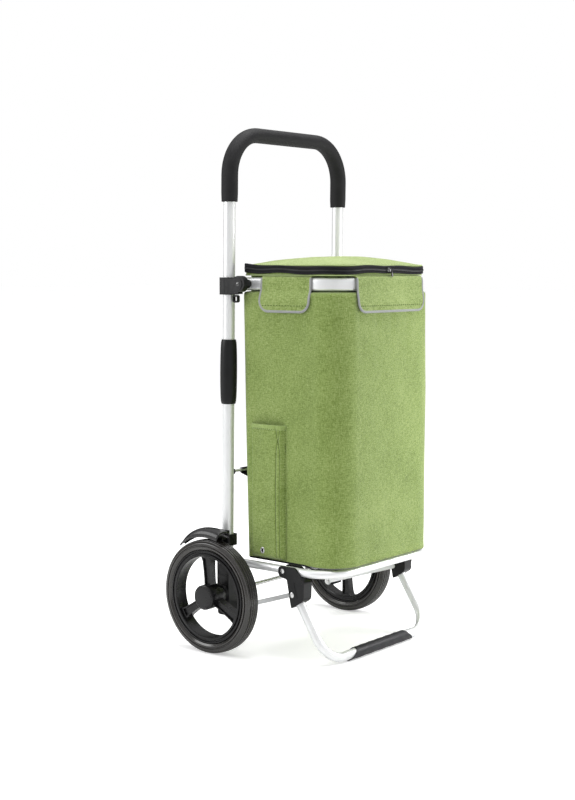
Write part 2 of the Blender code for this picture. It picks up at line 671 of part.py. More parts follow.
def build_wheel(side, sign, rubber, plastic, white, body, first_turn):
    centre = Vector((sign * WHEEL_X, 0, WHEEL_R))
    out = (sign, 0, 0)
    tyre = lathe(tyre_profile(), centre, out, WHEEL_STEPS, closed=True)
    add_part("tyre_" + side, tyre, rubber, body)
    rim = add_part("wheel_rim_" + side, lathe(rim_profile(), centre, out, WHEEL_STEPS, closed=True), plastic, body)
    hub = lathe([(HUB_R, -HUB_INNER), (HUB_R, HUB_OUTER)], centre, out, 20)
    boolean(rim, add_cutter("hub_" + side, hub), "UNION")
    for i in range(SPOKES):
        turn = first_turn + 2 * math.pi * i / SPOKES
        boolean(rim, add_cutter(f"spoke_{side}_{i}", spoke(sign, centre, turn)), "UNION")
    recess = lathe([(0.0180, HUB_OUTER - 0.0050), (0.0180, HUB_OUTER + 0.010)], centre, out, 20)
    boolean(rim, add_cutter("hub_recess_" + side, recess))
    bore = lathe([(BUSH_R + 0.0003, -0.04), (BUSH_R + 0.0003, 0.04)], centre, out, 16)
    boolean(rim, add_cutter("hub_bore_" + side, bore))
    low, high = -HUB_INNER + 0.001, HUB_OUTER - 0.0056
    bush = [(AXLE_R + 0.00025, low), (BUSH_R, low), (BUSH_R, high), (AXLE_R + 0.00025, high)]
    add_part("wheel_bush_" + side, lathe(bush, centre, out, 16, closed=True), white, body)
    cap = [(0.0176, HUB_OUTER + 0.0002), (0.0218, HUB_OUTER + 0.0004), (0.0218, HUB_OUTER + 0.0026),
           (0.0200, HUB_OUTER + 0.0040)]
    add_part("hub_cap_" + side, lathe(cap, centre, out, 20), plastic, body)


# ---- bag ------------------------------------------------------------------------------------------
def bag_rear(z):
    """The bag's back face at a height."""
    part = (z - BAG_LOW_Z) / (BAG_SHOULDER_Z - BAG_LOW_Z)
    return BAG_REAR_Y + (BAG_REAR_TOP_Y - BAG_REAR_Y) * min(max(part, 0), 1)


def bag_ring(z, inset, corner_r, wall=0.0):
    grow = inset + wall
    return [Vector((x, y, z)) for x, y in rounded_box(
        BAG_HALF_X - grow, BAG_FRONT_Y + grow, bag_rear(z) - wall,
        max(corner_r - wall, 0.004), max(0.014 - wall, 0.004), 5)]


def rim_ring(z, wall=0.0):
    return [Vector((x, y, z)) for x, y in rounded_box(
        RIM_HALF_X - wall, RIM_FRONT_Y + wall, RIM_REAR_Y - wall,
        RIM_CORNER_R - wall, max(0.014 - wall, 0.004), 5)]


def build_bag_body(fabric):
    neck_r = BAG_CORNER_R - 0.010
    outer = [
        bag_ring(BAG_LOW_Z, 0.008, BAG_CORNER_R - 0.006),
        bag_ring(BAG_LOW_Z + 0.008, 0.0, BAG_CORNER_R),
        bag_ring(BAG_SHOULDER_Z - 0.008, 0.0, BAG_CORNER_R),
        bag_ring(BAG_SHOULDER_Z, 0.005, BAG_CORNER_R),
        bag_ring(BAG_SHOULDER_Z + 0.0030, NECK_INSET, neck_r),
        bag_ring(RIM_LOW_Z - 0.0010, NECK_INSET, neck_r),
        rim_ring(RIM_LOW_Z),
        rim_ring(RIM_TOP_Z),
    ]
    inner = [
        rim_ring(RIM_TOP_Z, BAG_WALL),
        rim_ring(RIM_LOW_Z + BAG_WALL, BAG_WALL),
        bag_ring(RIM_LOW_Z + BAG_WALL - 0.0010, NECK_INSET, neck_r, BAG_WALL),
        bag_ring(BAG_SHOULDER_Z, NECK_INSET, neck_r, BAG_WALL),
        bag_ring(BAG_SHOULDER_Z - 0.004, 0.003, BAG_CORNER_R, BAG_WALL),
        bag_ring(BAG_SHOULDER_Z - 0.010, 0.0, BAG_CORNER_R, BAG_WALL),
        bag_ring(BAG_LOW_Z + 0.008, 0.0, BAG_CORNER_R, BAG_WALL),
        bag_ring(BAG_LOW_Z + BAG_WALL, 0.008, BAG_CORNER_R - 0.006, BAG_WALL),
    ]
    add_part("bag_body", loft(outer + inner), fabric, origin=(0, BAG_REAR_Y, BAG_LOW_Z))


def build_floor_board(board):
    low = BAG_LOW_Z + BAG_WALL + 0.0006
    outline = rounded_box(BAG_HALF_X - 0.014, BAG_FRONT_Y + 0.014, BAG_REAR_Y - 0.012, 0.044, 0.008, 4)
    add_part("bag_floor_board", plate_z(outline, low, low + 0.003), board, origin=(0, BAG_REAR_Y, low))


def build_pocket(fabric, steel):
    """A shallow open-topped pocket on the bag's left side."""
    face = -BAG_HALF_X - GAP
    out = face - POCKET_DEEP
    sheet = 0.002
    shape = [(face, POCKET_REAR_Y), (face, POCKET_FRONT_Y), (out, POCKET_FRONT_Y + 0.010),
             (out, POCKET_REAR_Y - 0.010)]
    hollow = [(face - sheet, POCKET_REAR_Y - 0.006), (face - sheet, POCKET_FRONT_Y + 0.006),
              (out + sheet, POCKET_FRONT_Y + 0.013), (out + sheet, POCKET_REAR_Y - 0.013)]
    rings = [[Vector((x, y, z)) for x, y in flat] for flat, z in (
        (shape, POCKET_LOW_Z), (shape, POCKET_HIGH_Z), (hollow, POCKET_HIGH_Z),
        (hollow, POCKET_LOW_Z + sheet))]
    add_part("umbrella_pocket", loft(rings), fabric, origin=(face, -0.110, POCKET_LOW_Z))
    eyelet = [(0.0028, 0), (0.0060, 0), (0.0056, 0.0012), (0.0030, 0.0014)]
    centre = Vector((out - GAP - 0.0004, -0.092, 0.206))
    add_part("pocket_eyelet", lathe(eyelet, centre, (-1, 0, 0), 16, closed=True), steel, origin=centre)


def build_back_strap(webbing):
    """A webbing loop on the bag's back that goes round the cross rod."""
    rod_at = on_post(0, CROSS_ROD_Z)
    sheet = 0.0016
    loop_r = CROSS_ROD_R + 0.0012
    turns = [math.radians(-90 + 180 * i / 6) for i in range(7)]
    low_z, high_z = CROSS_ROD_Z - 0.050, CROSS_ROD_Z + 0.012

    def arc(radius):
        return [(rod_at.y + radius * math.cos(t), rod_at.z + radius * math.sin(t)) for t in turns]

    outer = [(bag_rear(low_z) + 0.0006, low_z), (rod_at.y - 0.004, rod_at.z - loop_r - sheet)]
    outer += arc(loop_r + sheet) + [(bag_rear(high_z) + 0.0006, high_z)]
    inner = [(bag_rear(high_z) + 0.0006 + sheet, high_z - 0.0035)] + arc(loop_r)[::-1]
    inner += [(rod_at.y - 0.004, rod_at.z - loop_r), (bag_rear(low_z) + 0.0006 + sheet, low_z + 0.009)]
    bm = plate_x(outer + inner, -0.1325, -0.1075)
    add_part("bag_back_strap", bm, webbing, origin=at_x(rod_at, -0.12))


def tape_path(z):
    reach = RIM_HALF_X + GAP + TAPE_THICK / 2
    front = RIM_FRONT_Y - GAP - TAPE_THICK / 2
    corners = [(-reach, RIM_REAR_Y - 0.020, z), (-reach, front, z), (reach, front, z),
               (reach, RIM_REAR_Y - 0.020, z)]
    return rounded_path(corners, RIM_CORNER_R + GAP + TAPE_THICK / 2, 5)


def tape_section(high):
    half = high / 2
    return [(-half, -TAPE_THICK / 2), (half, -TAPE_THICK / 2), (half, TAPE_THICK / 2), (-half, TAPE_THICK / 2)]


def build_zip(tape, body_lid):
    low = sweep(tape_path(0.7407), (0, 0, 1), tape_section(0.0064))
    add_part("zip_tape_lower", low, tape, origin=(0, RIM_FRONT_Y, 0.7407))
    high = sweep(tape_path(0.7483), (0, 0, 1), tape_section(0.0072))
    add_part("zip_tape_upper", high, tape, body_lid)


def build_zip_slider(steel, body):
    y = RIM_FRONT_Y - GAP - TAPE_THICK - 0.0006
    flat = [(-0.0065, 0.7415), (0.0065, 0.7415), (0.0048, 0.7485), (-0.0048, 0.7485)]
    bm = loft([[Vector((x, at, z)) for x, z in flat] for at in (y, y - 0.0032)])
    add_part("zip_slider", bm, steel, body)


def build_lid(fabric, body):
    """A shallow domed shell, open underneath."""
    def ring(z, shrink, wall=0.0):
        half = RIM_HALF_X - wall
        front = RIM_FRONT_Y + wall
        rear = RIM_REAR_Y - wall
        middle = (front + rear) / 2
        flat = rounded_box(half, front, rear, RIM_CORNER_R - wall, max(0.014 - wall, 0.004), 5)
        return [Vector((x * shrink, middle + (y - middle) * shrink, z)) for x, y in flat]

    rise = LID_TOP_Z - LID_SKIRT_Z
    shrinks = (1.0, 0.86, 0.66, 0.42, 0.16)
    outer = [ring(LID_LOW_Z, 1.0)]
    outer += [ring(LID_SKIRT_Z + rise * (1 - s * s), s) for s in shrinks]
    inner = [ring(LID_LOW_Z, 1.0, BAG_WALL)]
    inner += [ring(LID_SKIRT_Z - BAG_WALL + rise * (1 - s * s), s, BAG_WALL) for s in shrinks]
    add_part("lid_panel", loft(inner[::-1] + outer), fabric, body)


def flap_section(reach_in, reach_out, drop_out):
    """A flap's sheet in section: up from inside the bar, over its top and down outside, as
    (distance outwards, height) for the side facing the bar and for the side facing away."""
    over = TOP_Z + TOP_HIGH / 2 + GAP
    near = [(reach_in, over), (reach_out, over), (reach_out + 0.0008, over - 0.004),
            (reach_out + 0.0008, BAG_SHOULDER_Z + 0.004), (drop_out, BAG_SHOULDER_Z - 0.006),
            (drop_out, FLAP_LOW_Z)]
    away = [(reach_in, over + FLAP_THICK), (reach_out + 0.0015, over + FLAP_THICK),
            (reach_out + 0.0008 + FLAP_THICK, over - 0.002),
            (reach_out + 0.0008 + FLAP_THICK, BAG_SHOULDER_Z + 0.006),
            (drop_out + FLAP_THICK, BAG_SHOULDER_Z - 0.003), (drop_out + FLAP_THICK, FLAP_LOW_Z)]
    return near, away


def flap_stations(low, high):
    """Positions along the bar with how far the flap's lower edge is cut up there by its round corner."""
    stations = []
    for k in range(5):
        turn = math.pi / 2 * k / 4
        stations.append((FLAP_CORNER_R * (1 - math.cos(turn)), FLAP_CORNER_R * (1 - math.sin(turn))))
    rows = [(low + along, cut) for along, cut in stations]
    rows += [(high - along, cut) for along, cut in reversed(stations)]
    return rows


def build_flap(name, fabric, body, low, high, reach_in, reach_out, drop_out, place):
    near, away = flap_section(reach_in, reach_out, drop_out)
    rings = []
    for along, cut in flap_stations(low, high):
        ring = []
        for out, z in near + away[::-1]:
            ring.append(place(out, along, z + (cut if z == FLAP_LOW_Z else 0)))
        rings.append(ring)
    add_part(name, loft(rings), fabric, body)


def build_flaps(fabric, body):
    inner = TOP_HALF_X - TOP_THICK - 0.0002
    for side, sign in SIDES.items():
        build_flap("flap_" + side, fabric, body, FLAP_SIDE_FRONT_Y, FLAP_SIDE_REAR_Y,
                   inner, TOP_HALF_X, BAG_HALF_X + 0.0008,
                   lambda out, along, z, sign=sign: Vector((sign * out, along, z)))
    build_flap("flap_front", fabric, body, -FLAP_FRONT_HALF_X, FLAP_FRONT_HALF_X,
               -TOP_FRONT_Y - TOP_THICK - 0.0002, -TOP_FRONT_Y, -BAG_FRONT_Y + 0.0008,
               lambda out, along, z: Vector((along, -out, z)))


# ---- assembly -------------------------------------------------------------------------------------
def place_origin():
    """Everything above is measured from the axle. This puts the frame's origin on the ground at the
    middle of the trolley's footprint."""
    for obj in bpy.data.objects:
        if obj.parent is None:
            obj.location.y += AXLE_Y


def main():
    clear_scene()
    aluminium = make_material("satin_aluminium", (0.82, 0.83, 0.84), 0.35, 1.0)
    steel = make_material("plated_steel", (0.70, 0.70, 0.72), 0.30, 1.0)
    foam = make_material("black_foam", (0.030, 0.030, 0.033), 0.75)
    plastic = make_material("black_plastic", (0.022, 0.022, 0.024), 0.45)
    rubber = make_material("tyre_rubber", (0.040, 0.039, 0.038), 0.60)
    white = make_material("white_nylon", (0.80, 0.80, 0.78), 0.50)
    green = make_material("green_fabric", (0.262, 0.390, 0.102), 0.90)
    webbing = make_material("black_webbing", (0.018, 0.018, 0.020), 0.85)
    board = make_material("grey_board", (0.20, 0.20, 0.20), 0.90)

    top_ring = make_body("top_ring_axis", PIVOT_T)
    base = make_body("base_axis", PIVOT_A)
    stand = make_body("stand_axis", PIVOT_B)
    links = {side: make_body("link_axis_" + side, link_pivot()) for side in SIDES}
    lid = make_body("lid_axis", Vector((0, RIM_REAR_Y, LID_LOW_Z)))
    slider = make_body("zip_slider_start", Vector((0, RIM_FRONT_Y, RIM_TOP_Z)))

    build_uprights(aluminium)
    build_handle(aluminium, foam, steel)
    build_joint_sleeves(plastic)
    build_cross_rod(steel)
    build_top_brackets(plastic, steel)
    build_lock_loops(plastic)
    build_top_bar(aluminium, top_ring)
    build_axle_blocks(plastic, steel)
    build_axle(steel, plastic)
    build_fenders(plastic)
    build_fender_clamps(plastic)
    build_base(aluminium, steel, base)
    build_stand(aluminium, plastic, steel, stand)
    build_links(aluminium, links)
    for side, sign in SIDES.items():
        wheel = make_body("wheel_axis_" + side, Vector((sign * WHEEL_X, 0, WHEEL_R)))
        first_turn = 0.0 if side == "left" else math.radians(195)
        build_wheel(side, sign, rubber, plastic, white, wheel, first_turn)
    build_bag_body(green)
    build_floor_board(board)
    build_pocket(green, steel)
    build_back_strap(webbing)
    build_zip(webbing, lid)
    build_zip_slider(steel, slider)
    build_lid(green, lid)
    build_flaps(green, top_ring)
    place_origin()


main()
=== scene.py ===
"""Looks of the folding shopping trolley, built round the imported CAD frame. Metres, +Z up, front at -Y."""
import json
import math

import bmesh
import bpy
from mathutils import Matrix, Vector, noise


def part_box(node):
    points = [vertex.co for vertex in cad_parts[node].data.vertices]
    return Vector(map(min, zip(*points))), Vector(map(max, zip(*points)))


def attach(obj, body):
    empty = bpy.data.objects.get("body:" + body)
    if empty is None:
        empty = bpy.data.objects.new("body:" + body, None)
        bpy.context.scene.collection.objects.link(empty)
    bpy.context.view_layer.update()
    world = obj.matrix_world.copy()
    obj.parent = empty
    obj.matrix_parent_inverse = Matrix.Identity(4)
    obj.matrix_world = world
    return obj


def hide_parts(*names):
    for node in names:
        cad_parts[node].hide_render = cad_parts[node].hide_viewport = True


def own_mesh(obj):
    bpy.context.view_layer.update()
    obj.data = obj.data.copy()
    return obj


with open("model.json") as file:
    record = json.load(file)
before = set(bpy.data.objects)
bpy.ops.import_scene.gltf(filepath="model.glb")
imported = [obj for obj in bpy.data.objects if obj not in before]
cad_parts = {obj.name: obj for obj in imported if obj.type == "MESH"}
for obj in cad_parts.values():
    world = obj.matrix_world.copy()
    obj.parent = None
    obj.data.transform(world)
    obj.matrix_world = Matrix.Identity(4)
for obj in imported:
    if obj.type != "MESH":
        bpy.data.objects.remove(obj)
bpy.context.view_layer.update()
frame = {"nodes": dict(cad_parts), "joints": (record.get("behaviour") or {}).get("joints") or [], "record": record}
NODES = frame["nodes"]
JOINTS = {joint["name"]: joint for joint in frame["joints"]}
SIDES = {"left": -1, "right": 1}
MM = 0.001


# ---- places read from the frame, all measured from the foot of the axle --------------------------
AXLE = Vector((0, JOINTS["wheel_left_spin"]["pos_m"][1], 0))


def box_of(node):
    low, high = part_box(node)
    return Vector(low) - AXLE, Vector(high) - AXLE


def node_points(node, low, high):
    """A CAD node's corners between two heights."""
    places = [NODES[node].matrix_world @ v.co - AXLE for v in NODES[node].data.vertices]
    return [place for place in places if low <= place.z <= high]


def mean(points):
    return sum(points, Vector((0, 0, 0))) / len(points)


def joint_point(name):
    return Vector(JOINTS[name]["pos_m"]) - AXLE


def box_centre(node):
    low, high = box_of(node)
    return (low + high) / 2


def box_size(node):
    low, high = box_of(node)
    return high - low


POST_LOW = box_of("upright_left")[0].z
POST_HIGH = box_of("upright_left")[1].z
POST_FOOT = mean(node_points("upright_left", POST_LOW, POST_LOW + 2 * MM))
POST_HEAD = mean(node_points("upright_left", POST_HIGH - 2 * MM, POST_HIGH))
POST_LEAN = (POST_HEAD.y - POST_FOOT.y) / (POST_HEAD.z - POST_FOOT.z)
POST_X = abs(POST_FOOT.x)
POST_R = box_size("upright_left").x / 2
POST_WAY = Vector((0, POST_LEAN, 1)).normalized()
POST_PLANE = Vector((0, 1, -POST_LEAN)).normalized()

PIVOT_A = joint_point("base_fold")
PIVOT_B = joint_point("stand_fold")
PIVOT_D = joint_point("link_left_swing")
PIVOT_T = joint_point("top_ring_fold")
PIVOT_C = box_centre("link_rivet_left")
WHEEL_X = abs(joint_point("wheel_left_spin").x)
WHEEL_R = joint_point("wheel_left_spin").z


def on_post(sign, z):
    """The point on an upright's centre line at a height."""
    return Vector((sign * POST_X, POST_FOOT.y + POST_LEAN * (z - POST_FOOT.z), z))


def at_x(point, x):
    return Vector((x, point.y, point.z))


# ---- material nodes -------------------------------------------------------------------------------
def new_material(name):
    mat = bpy.data.materials.new(name)
    mat.use_nodes = True
    return mat, mat.node_tree, mat.node_tree.nodes["Principled BSDF"]


def set_inputs(tree, node, values):
    """An input given a socket is linked, any other is set."""
    for key, value in values.items():
        if isinstance(value, bpy.types.NodeSocket):
            tree.links.new(value, node.inputs[key])
        else:
            node.inputs[key].default_value = value


def put(tree, kind, props=None, inputs=None):
    node = tree.nodes.new(kind)
    for key, value in (props or {}).items():
        setattr(node, key, value)
    set_inputs(tree, node, inputs or {})
    return node


def object_coords(tree, stretch=(1, 1, 1)):
    coords = put(tree, "ShaderNodeTexCoord").outputs["Object"]
    return put(tree, "ShaderNodeMapping", None, {"Vector": coords, "Scale": stretch}).outputs[0]


def noise_of(tree, stretch, detail=2.0, roughness=0.5):
    inputs = {"Vector": object_coords(tree, stretch), "Scale": 1.0, "Detail": detail, "Roughness": roughness}
    return put(tree, "ShaderNodeTexNoise", None, inputs).outputs["Fac"]


def dot_of(tree, way, direction):
    node = put(tree, "ShaderNodeVectorMath", {"operation": "DOT_PRODUCT"}, {0: way, 1: direction})
    return node.outputs["Value"]


def wave_of(tree, direction, pitch):
    """A sine across the given direction, one ridge for each pitch, from 0 to 1."""
    coords = put(tree, "ShaderNodeTexCoord").outputs["Object"]
    turn = math_node(tree, "MULTIPLY", dot_of(tree, coords, direction), 2 * math.pi / pitch)
    return math_node(tree, "MULTIPLY_ADD", math_node(tree, "SINE", turn), 0.5, 0.5)


def math_node(tree, operation, *values):
    return put(tree, "ShaderNodeMath", {"operation": operation}, dict(enumerate(values))).outputs[0]


def mix_values(tree, first, second, share):
    return math_node(tree, "ADD", math_node(tree, "MULTIPLY", first, 1 - share),
                     math_node(tree, "MULTIPLY", second, share))


def ramp_of(tree, value, stops):
    node = put(tree, "ShaderNodeValToRGB", None, {"Fac": value})
    ramp = node.color_ramp
    while len(ramp.elements) < len(stops):
        ramp.elements.new(0.5)
    for element, (position, color) in zip(ramp.elements, stops):
        element.position = position
        element.color = (*color, 1.0)
    return node.outputs["Color"]


def grey_ramp(tree, value, low, high, dark, light):
    return ramp_of(tree, value, [(low, (dark,) * 3), (high, (light,) * 3)])


def bump_of(tree, height, distance):
    inputs = {"Height": height, "Distance": distance, "Strength": 1.0}
    return put(tree, "ShaderNodeBump", None, inputs).outputs["Normal"]


# ---- materials ------------------------------------------------------------------------------------
def make_aluminium(name, grain):
    """Satin anodised tube: very fine drawing lines along the tube and faint handling marks."""
    mat, tree, shader = new_material(name)
    lines = noise_of(tree, grain, 2.0)
    marks = noise_of(tree, (35, 35, 35), 4.0, 0.6)
    color = ramp_of(tree, mix_values(tree, lines, marks, 0.4),
                    [(0.3, (0.86, 0.87, 0.875)), (0.7, (0.92, 0.93, 0.935))])
    rough = grey_ramp(tree, mix_values(tree, marks, lines, 0.4), 0.35, 0.65, 0.36, 0.48)
    normal = bump_of(tree, lines, 0.00003)
    set_inputs(tree, shader, {"Base Color": color, "Metallic": 0.55, "Roughness": rough, "Normal": normal})
    return mat


def make_steel(name, dark, light):
    """Plated steel of the rivets, pins and the zip's slider."""
    mat, tree, shader = new_material(name)
    spots = noise_of(tree, (400, 400, 400), 3.0)
    set_inputs(tree, shader, {
        "Base Color": grey_ramp(tree, spots, 0.3, 0.7, dark, light),
        "Metallic": 1.0, "Roughness": grey_ramp(tree, spots, 0.3, 0.7, 0.18, 0.34),
        "Normal": bump_of(tree, spots, 0.00002)})
    return mat


def make_plastic(name, dark, light, rough_low, rough_high, grain=2600, depth=0.00005, shine=0.28):
    """Moulded plastic or rubber: spark-eroded grain, softer patches and a faintly cloudy tone."""
    mat, tree, shader = new_material(name)
    fine = noise_of(tree, (grain, grain, grain), 2.0)
    cloud = noise_of(tree, (28, 28, 28), 4.0, 0.6)
    set_inputs(tree, shader, {
        "Base Color": ramp_of(tree, mix_values(tree, cloud, fine, 0.35), [(0.30, dark), (0.72, light)]),
        "Roughness": grey_ramp(tree, cloud, 0.3, 0.7, rough_low, rough_high),
        "Specular IOR Level": shine,
        "Normal": bump_of(tree, fine, depth)})
    return mat


def make_foam():
    """Closed-cell foam of the grip: fine pores and a dull sheen."""
    mat, tree, shader = new_material("grip_foam_look")
    cells = put(tree, "ShaderNodeTexVoronoi", None, {"Vector": object_coords(tree), "Scale": 1500.0})
    cloud = noise_of(tree, (40, 40, 40), 3.0)
    height = mix_values(tree, cells.outputs["Distance"], noise_of(tree, (900, 900, 900), 2.0), 0.5)
    set_inputs(tree, shader, {
        "Base Color": ramp_of(tree, cloud, [(0.3, (0.012, 0.012, 0.013)), (0.7, (0.021, 0.021, 0.022))]),
        "Roughness": grey_ramp(tree, cloud, 0.3, 0.7, 0.62, 0.76),
        "Specular IOR Level": 0.22,
        "Normal": bump_of(tree, height, 0.00012)})
    return mat


def make_fabric(name, first, second, stops, coarse=1.0, sheen=0.25):
    """Melange plain weave. The threads run along two directions given as unit vectors, and slubs of
    lighter and darker yarn run along both."""
    mat, tree, shader = new_material(name)

    def along(direction, length, width):
        return tuple(1 / length if abs(c) > 0.5 else 1 / width for c in direction)

    yarn = 1.5 * MM * coarse
    slub_a = noise_of(tree, along(first, 9 * MM, yarn), 2.0, 0.6)
    slub_b = noise_of(tree, along(second, 7 * MM, yarn), 2.0, 0.6)
    fleck = noise_of(tree, (560 / coarse,) * 3, 2.0, 0.7)
    cloud = noise_of(tree, (14, 14, 14), 3.0, 0.5)
    tone = mix_values(tree, mix_values(tree, slub_a, slub_b, 0.5), fleck, 0.38)
    tone = mix_values(tree, tone, cloud, 0.15)
    pitch = 1.25 * MM * coarse
    warp = wave_of(tree, first, pitch)
    weft = wave_of(tree, second, pitch)
    weave = math_node(tree, "ABSOLUTE", math_node(tree, "SUBTRACT", warp, weft))
    shade = mix_values(tree, tone, weave, 0.10)
    height = mix_values(tree, weave, tone, 0.55)
    set_inputs(tree, shader, {
        "Base Color": ramp_of(tree, shade, stops),
        "Roughness": 0.92, "Specular IOR Level": 0.2,
        "Sheen Weight": sheen, "Sheen Roughness": 0.5,
        "Normal": bump_of(tree, height, 0.0005)})
    return mat


GREEN_STOPS = [(0.36, (0.115, 0.177, 0.030)), (0.50, (0.265, 0.360, 0.096)), (0.64, (0.450, 0.545, 0.215))]
# The lid's stops are the bag's green made paler: painted light for the light that falls on the lid's top.
LID_PAINTED_LIGHT_STOPS = [(0.36, (0.175, 0.247, 0.066)), (0.50, (0.345, 0.430, 0.162)), (0.64, (0.520, 0.602, 0.310))]
UPRIGHT_Z = (0, 0, 1)
DIAGONAL = (1, 1, 0)
BLACK_STOPS = [(0.3, (0.006, 0.006, 0.007)), (0.7, (0.020, 0.020, 0.023))]
GREY_STOPS = [(0.3, (0.30, 0.31, 0.31)), (0.7, (0.46, 0.47, 0.47))]
LINER_STOPS = [(0.3, (0.20, 0.20, 0.21)), (0.7, (0.28, 0.28, 0.29))]

ALU_UPRIGHT = make_aluminium("aluminium_upright", (1800, 1800, 40))
ALU_LEVEL = make_aluminium("aluminium_level", (300, 300, 1800))
STEEL = make_steel("plated_steel_look", 0.55, 0.73)
DARK_STEEL = make_steel("dark_plated_steel_look", 0.10, 0.18)
FOAM = make_foam()
PLASTIC = make_plastic("black_plastic_look", (0.004, 0.004, 0.0045), (0.010, 0.0104, 0.011), 0.30, 0.42)
GLOSS = make_plastic("glossy_black_plastic", (0.010, 0.010, 0.011), (0.020, 0.020, 0.021), 0.16, 0.30,
                     900, 0.00001, 0.45)
RUBBER = make_plastic("tyre_rubber_look", (0.011, 0.0100, 0.0088), (0.030, 0.0270, 0.0230), 0.11, 0.20,
                      1700, 0.00002, 0.70)
WHEEL_PLASTIC = make_plastic("wheel_plastic_look", (0.005, 0.005, 0.0055), (0.012, 0.012, 0.0125),
                             0.20, 0.34, 2200, 0.00003, 0.32)
FOOT_PLASTIC = make_plastic("foot_sleeve_look", (0.020, 0.020, 0.022), (0.036, 0.036, 0.040), 0.40, 0.55)
NYLON = make_plastic("white_nylon_look", (0.70, 0.70, 0.67), (0.80, 0.80, 0.78), 0.40, 0.55)
FABRIC = make_fabric("green_fabric_look", DIAGONAL, UPRIGHT_Z, GREEN_STOPS)
# The lid's fabric is the bag's cloth, with painted light from above in its paler colour.
FABRIC_FLAT = make_fabric("green_fabric_lid_painted_light", (1, 0, 0), (0, 1, 0), LID_PAINTED_LIGHT_STOPS)
FLAP_FABRIC = make_fabric("green_fabric_flap", DIAGONAL, UPRIGHT_Z,
                          [(0.36, (0.125, 0.187, 0.034)), (0.50, (0.285, 0.380, 0.108)),
                           (0.64, (0.470, 0.562, 0.235))], 1.3)
ZIP_COIL = make_plastic("zip_coil_look", (0.025, 0.025, 0.026), (0.055, 0.055, 0.057), 0.35, 0.5, 900)
POCKET_HEM = make_fabric("pocket_hem_look", DIAGONAL, UPRIGHT_Z,
                         [(0.33, (0.21, 0.30, 0.08)), (0.50, (0.33, 0.44, 0.14)), (0.68, (0.46, 0.57, 0.24))])
BINDING = make_fabric("light_green_binding", DIAGONAL, UPRIGHT_Z,
                      [(0.3, (0.36, 0.48, 0.15)), (0.7, (0.56, 0.68, 0.32))], 0.6)
PIPING = make_fabric("grey_piping_look", DIAGONAL, UPRIGHT_Z, GREY_STOPS, 0.5)
WEBBING = make_fabric("black_webbing_look", DIAGONAL, UPRIGHT_Z, BLACK_STOPS, 0.8, 0.03)
LINER = make_fabric("bag_liner_look", DIAGONAL, UPRIGHT_Z, LINER_STOPS, 0.5, 0.1)
THREAD = make_fabric("sewing_thread_look", DIAGONAL, UPRIGHT_Z,
                     [(0.3, (0.045, 0.075, 0.018)), (0.7, (0.085, 0.13, 0.035))], 0.3, 0.0)
BOARD = make_plastic("grey_board_look", (0.12, 0.12, 0.12), (0.17, 0.17, 0.17), 0.7, 0.9, 500, 0.0001)
# The looks of each material slot. The first of them also dresses the CAD nodes that stay visible.
SLOT_LOOKS = {
    "satin_aluminium": (ALU_UPRIGHT, ALU_LEVEL), "plated_steel": (STEEL, DARK_STEEL), "black_foam": (FOAM,),
    "black_plastic": (PLASTIC, GLOSS, WHEEL_PLASTIC, FOOT_PLASTIC), "tyre_rubber": (RUBBER,),
    "white_nylon": (NYLON,), "grey_board": (BOARD,), "black_webbing": (WEBBING, ZIP_COIL),
    "green_fabric": (FABRIC, FABRIC_FLAT, FLAP_FABRIC, POCKET_HEM, BINDING, PIPING, THREAD),
}
SLOT_OF = {look.name: slot for slot, looks in SLOT_LOOKS.items() for look in looks}


# ---- outlines, paths and meshes -------------------------------------------------------------------
def in_mm(*points):
    return [tuple(value * MM for value in point) for point in points]


def circle(radius, steps):
    turns = [2 * math.pi * i / steps for i in range(steps)]
    return [(radius * math.cos(t), radius * math.sin(t)) for t in turns]


def rounded_outline(corners, radii, steps):
    """A closed flat outline through the corners, each rounded with its own radius, or all with one."""
    points = []
    count = len(corners)
    for i, radius in enumerate(radii if isinstance(radii, list) else [radii] * count):
        here = Vector(corners[i])
        back = (Vector(corners[i - 1]) - here).normalized()
        ahead = (Vector(corners[(i + 1) % count]) - here).normalized()
        if radius <= 0:
            points.append(tuple(here))
            continue
        half = back.angle(ahead) / 2
        start = here + back * (radius / math.tan(half))
        centre = here + (back + ahead).normalized() * (radius / math.sin(half))
        turn = (math.pi - 2 * half) * (1 if back.x * ahead.y - back.y * ahead.x < 0 else -1)
        for k in range(steps + 1):
            spun = Matrix.Rotation(turn * k / steps, 2) @ (start - centre)
            points.append(tuple(centre + spun))
    return points


def box_corners(a0, a1, b0, b1):
    return [(a0, b0), (a1, b0), (a1, b1), (a0, b1)]


def rounded_box(half_a, half_b, radius, steps, middle=(0, 0)):
    a, b = middle
    return rounded_outline(box_corners(a - half_a, a + half_a, b - half_b, b + half_b), radius, steps)


def rounded_path(corners, radius, steps, straight=0.02):
    """An open path in space through the corners, with round bends and evenly divided straights."""
    points = [Vector(corners[0])]
    for before, corner, after in zip(corners, corners[1:], corners[2:]):
        corner = Vector(corner)
        back = (Vector(before) - corner).normalized()
        ahead = (Vector(after) - corner).normalized()
        half = back.angle(ahead) / 2
        centre = corner + (back + ahead).normalized() * (radius / math.sin(half))
        spoke = corner + back * (radius / math.tan(half)) - centre
        axis = back.cross(ahead).normalized()
        bend = [centre + Matrix.Rotation(-(math.pi - 2 * half) * k / steps, 3, axis) @ spoke
                for k in range(steps + 1)]
        points += divided(points[-1], bend[0], straight)[1:-1] + bend
    return points + divided(points[-1], Vector(corners[-1]), straight)[1:]


def u_path(x, front, rear, z, radius, steps, straight=0.02):
    """A level path from the rear left round the front to the rear right."""
    corners = [(-x, rear, z), (-x, front, z), (x, front, z), (x, rear, z)]
    return rounded_path(corners, radius, steps, straight)


def divided(start, end, spacing):
    count = max(1, round((end - start).length / spacing))
    return [start.lerp(end, k / count) for k in range(count + 1)]


def length_of(line):
    return sum((b - a).length for a, b in zip(line, line[1:]))


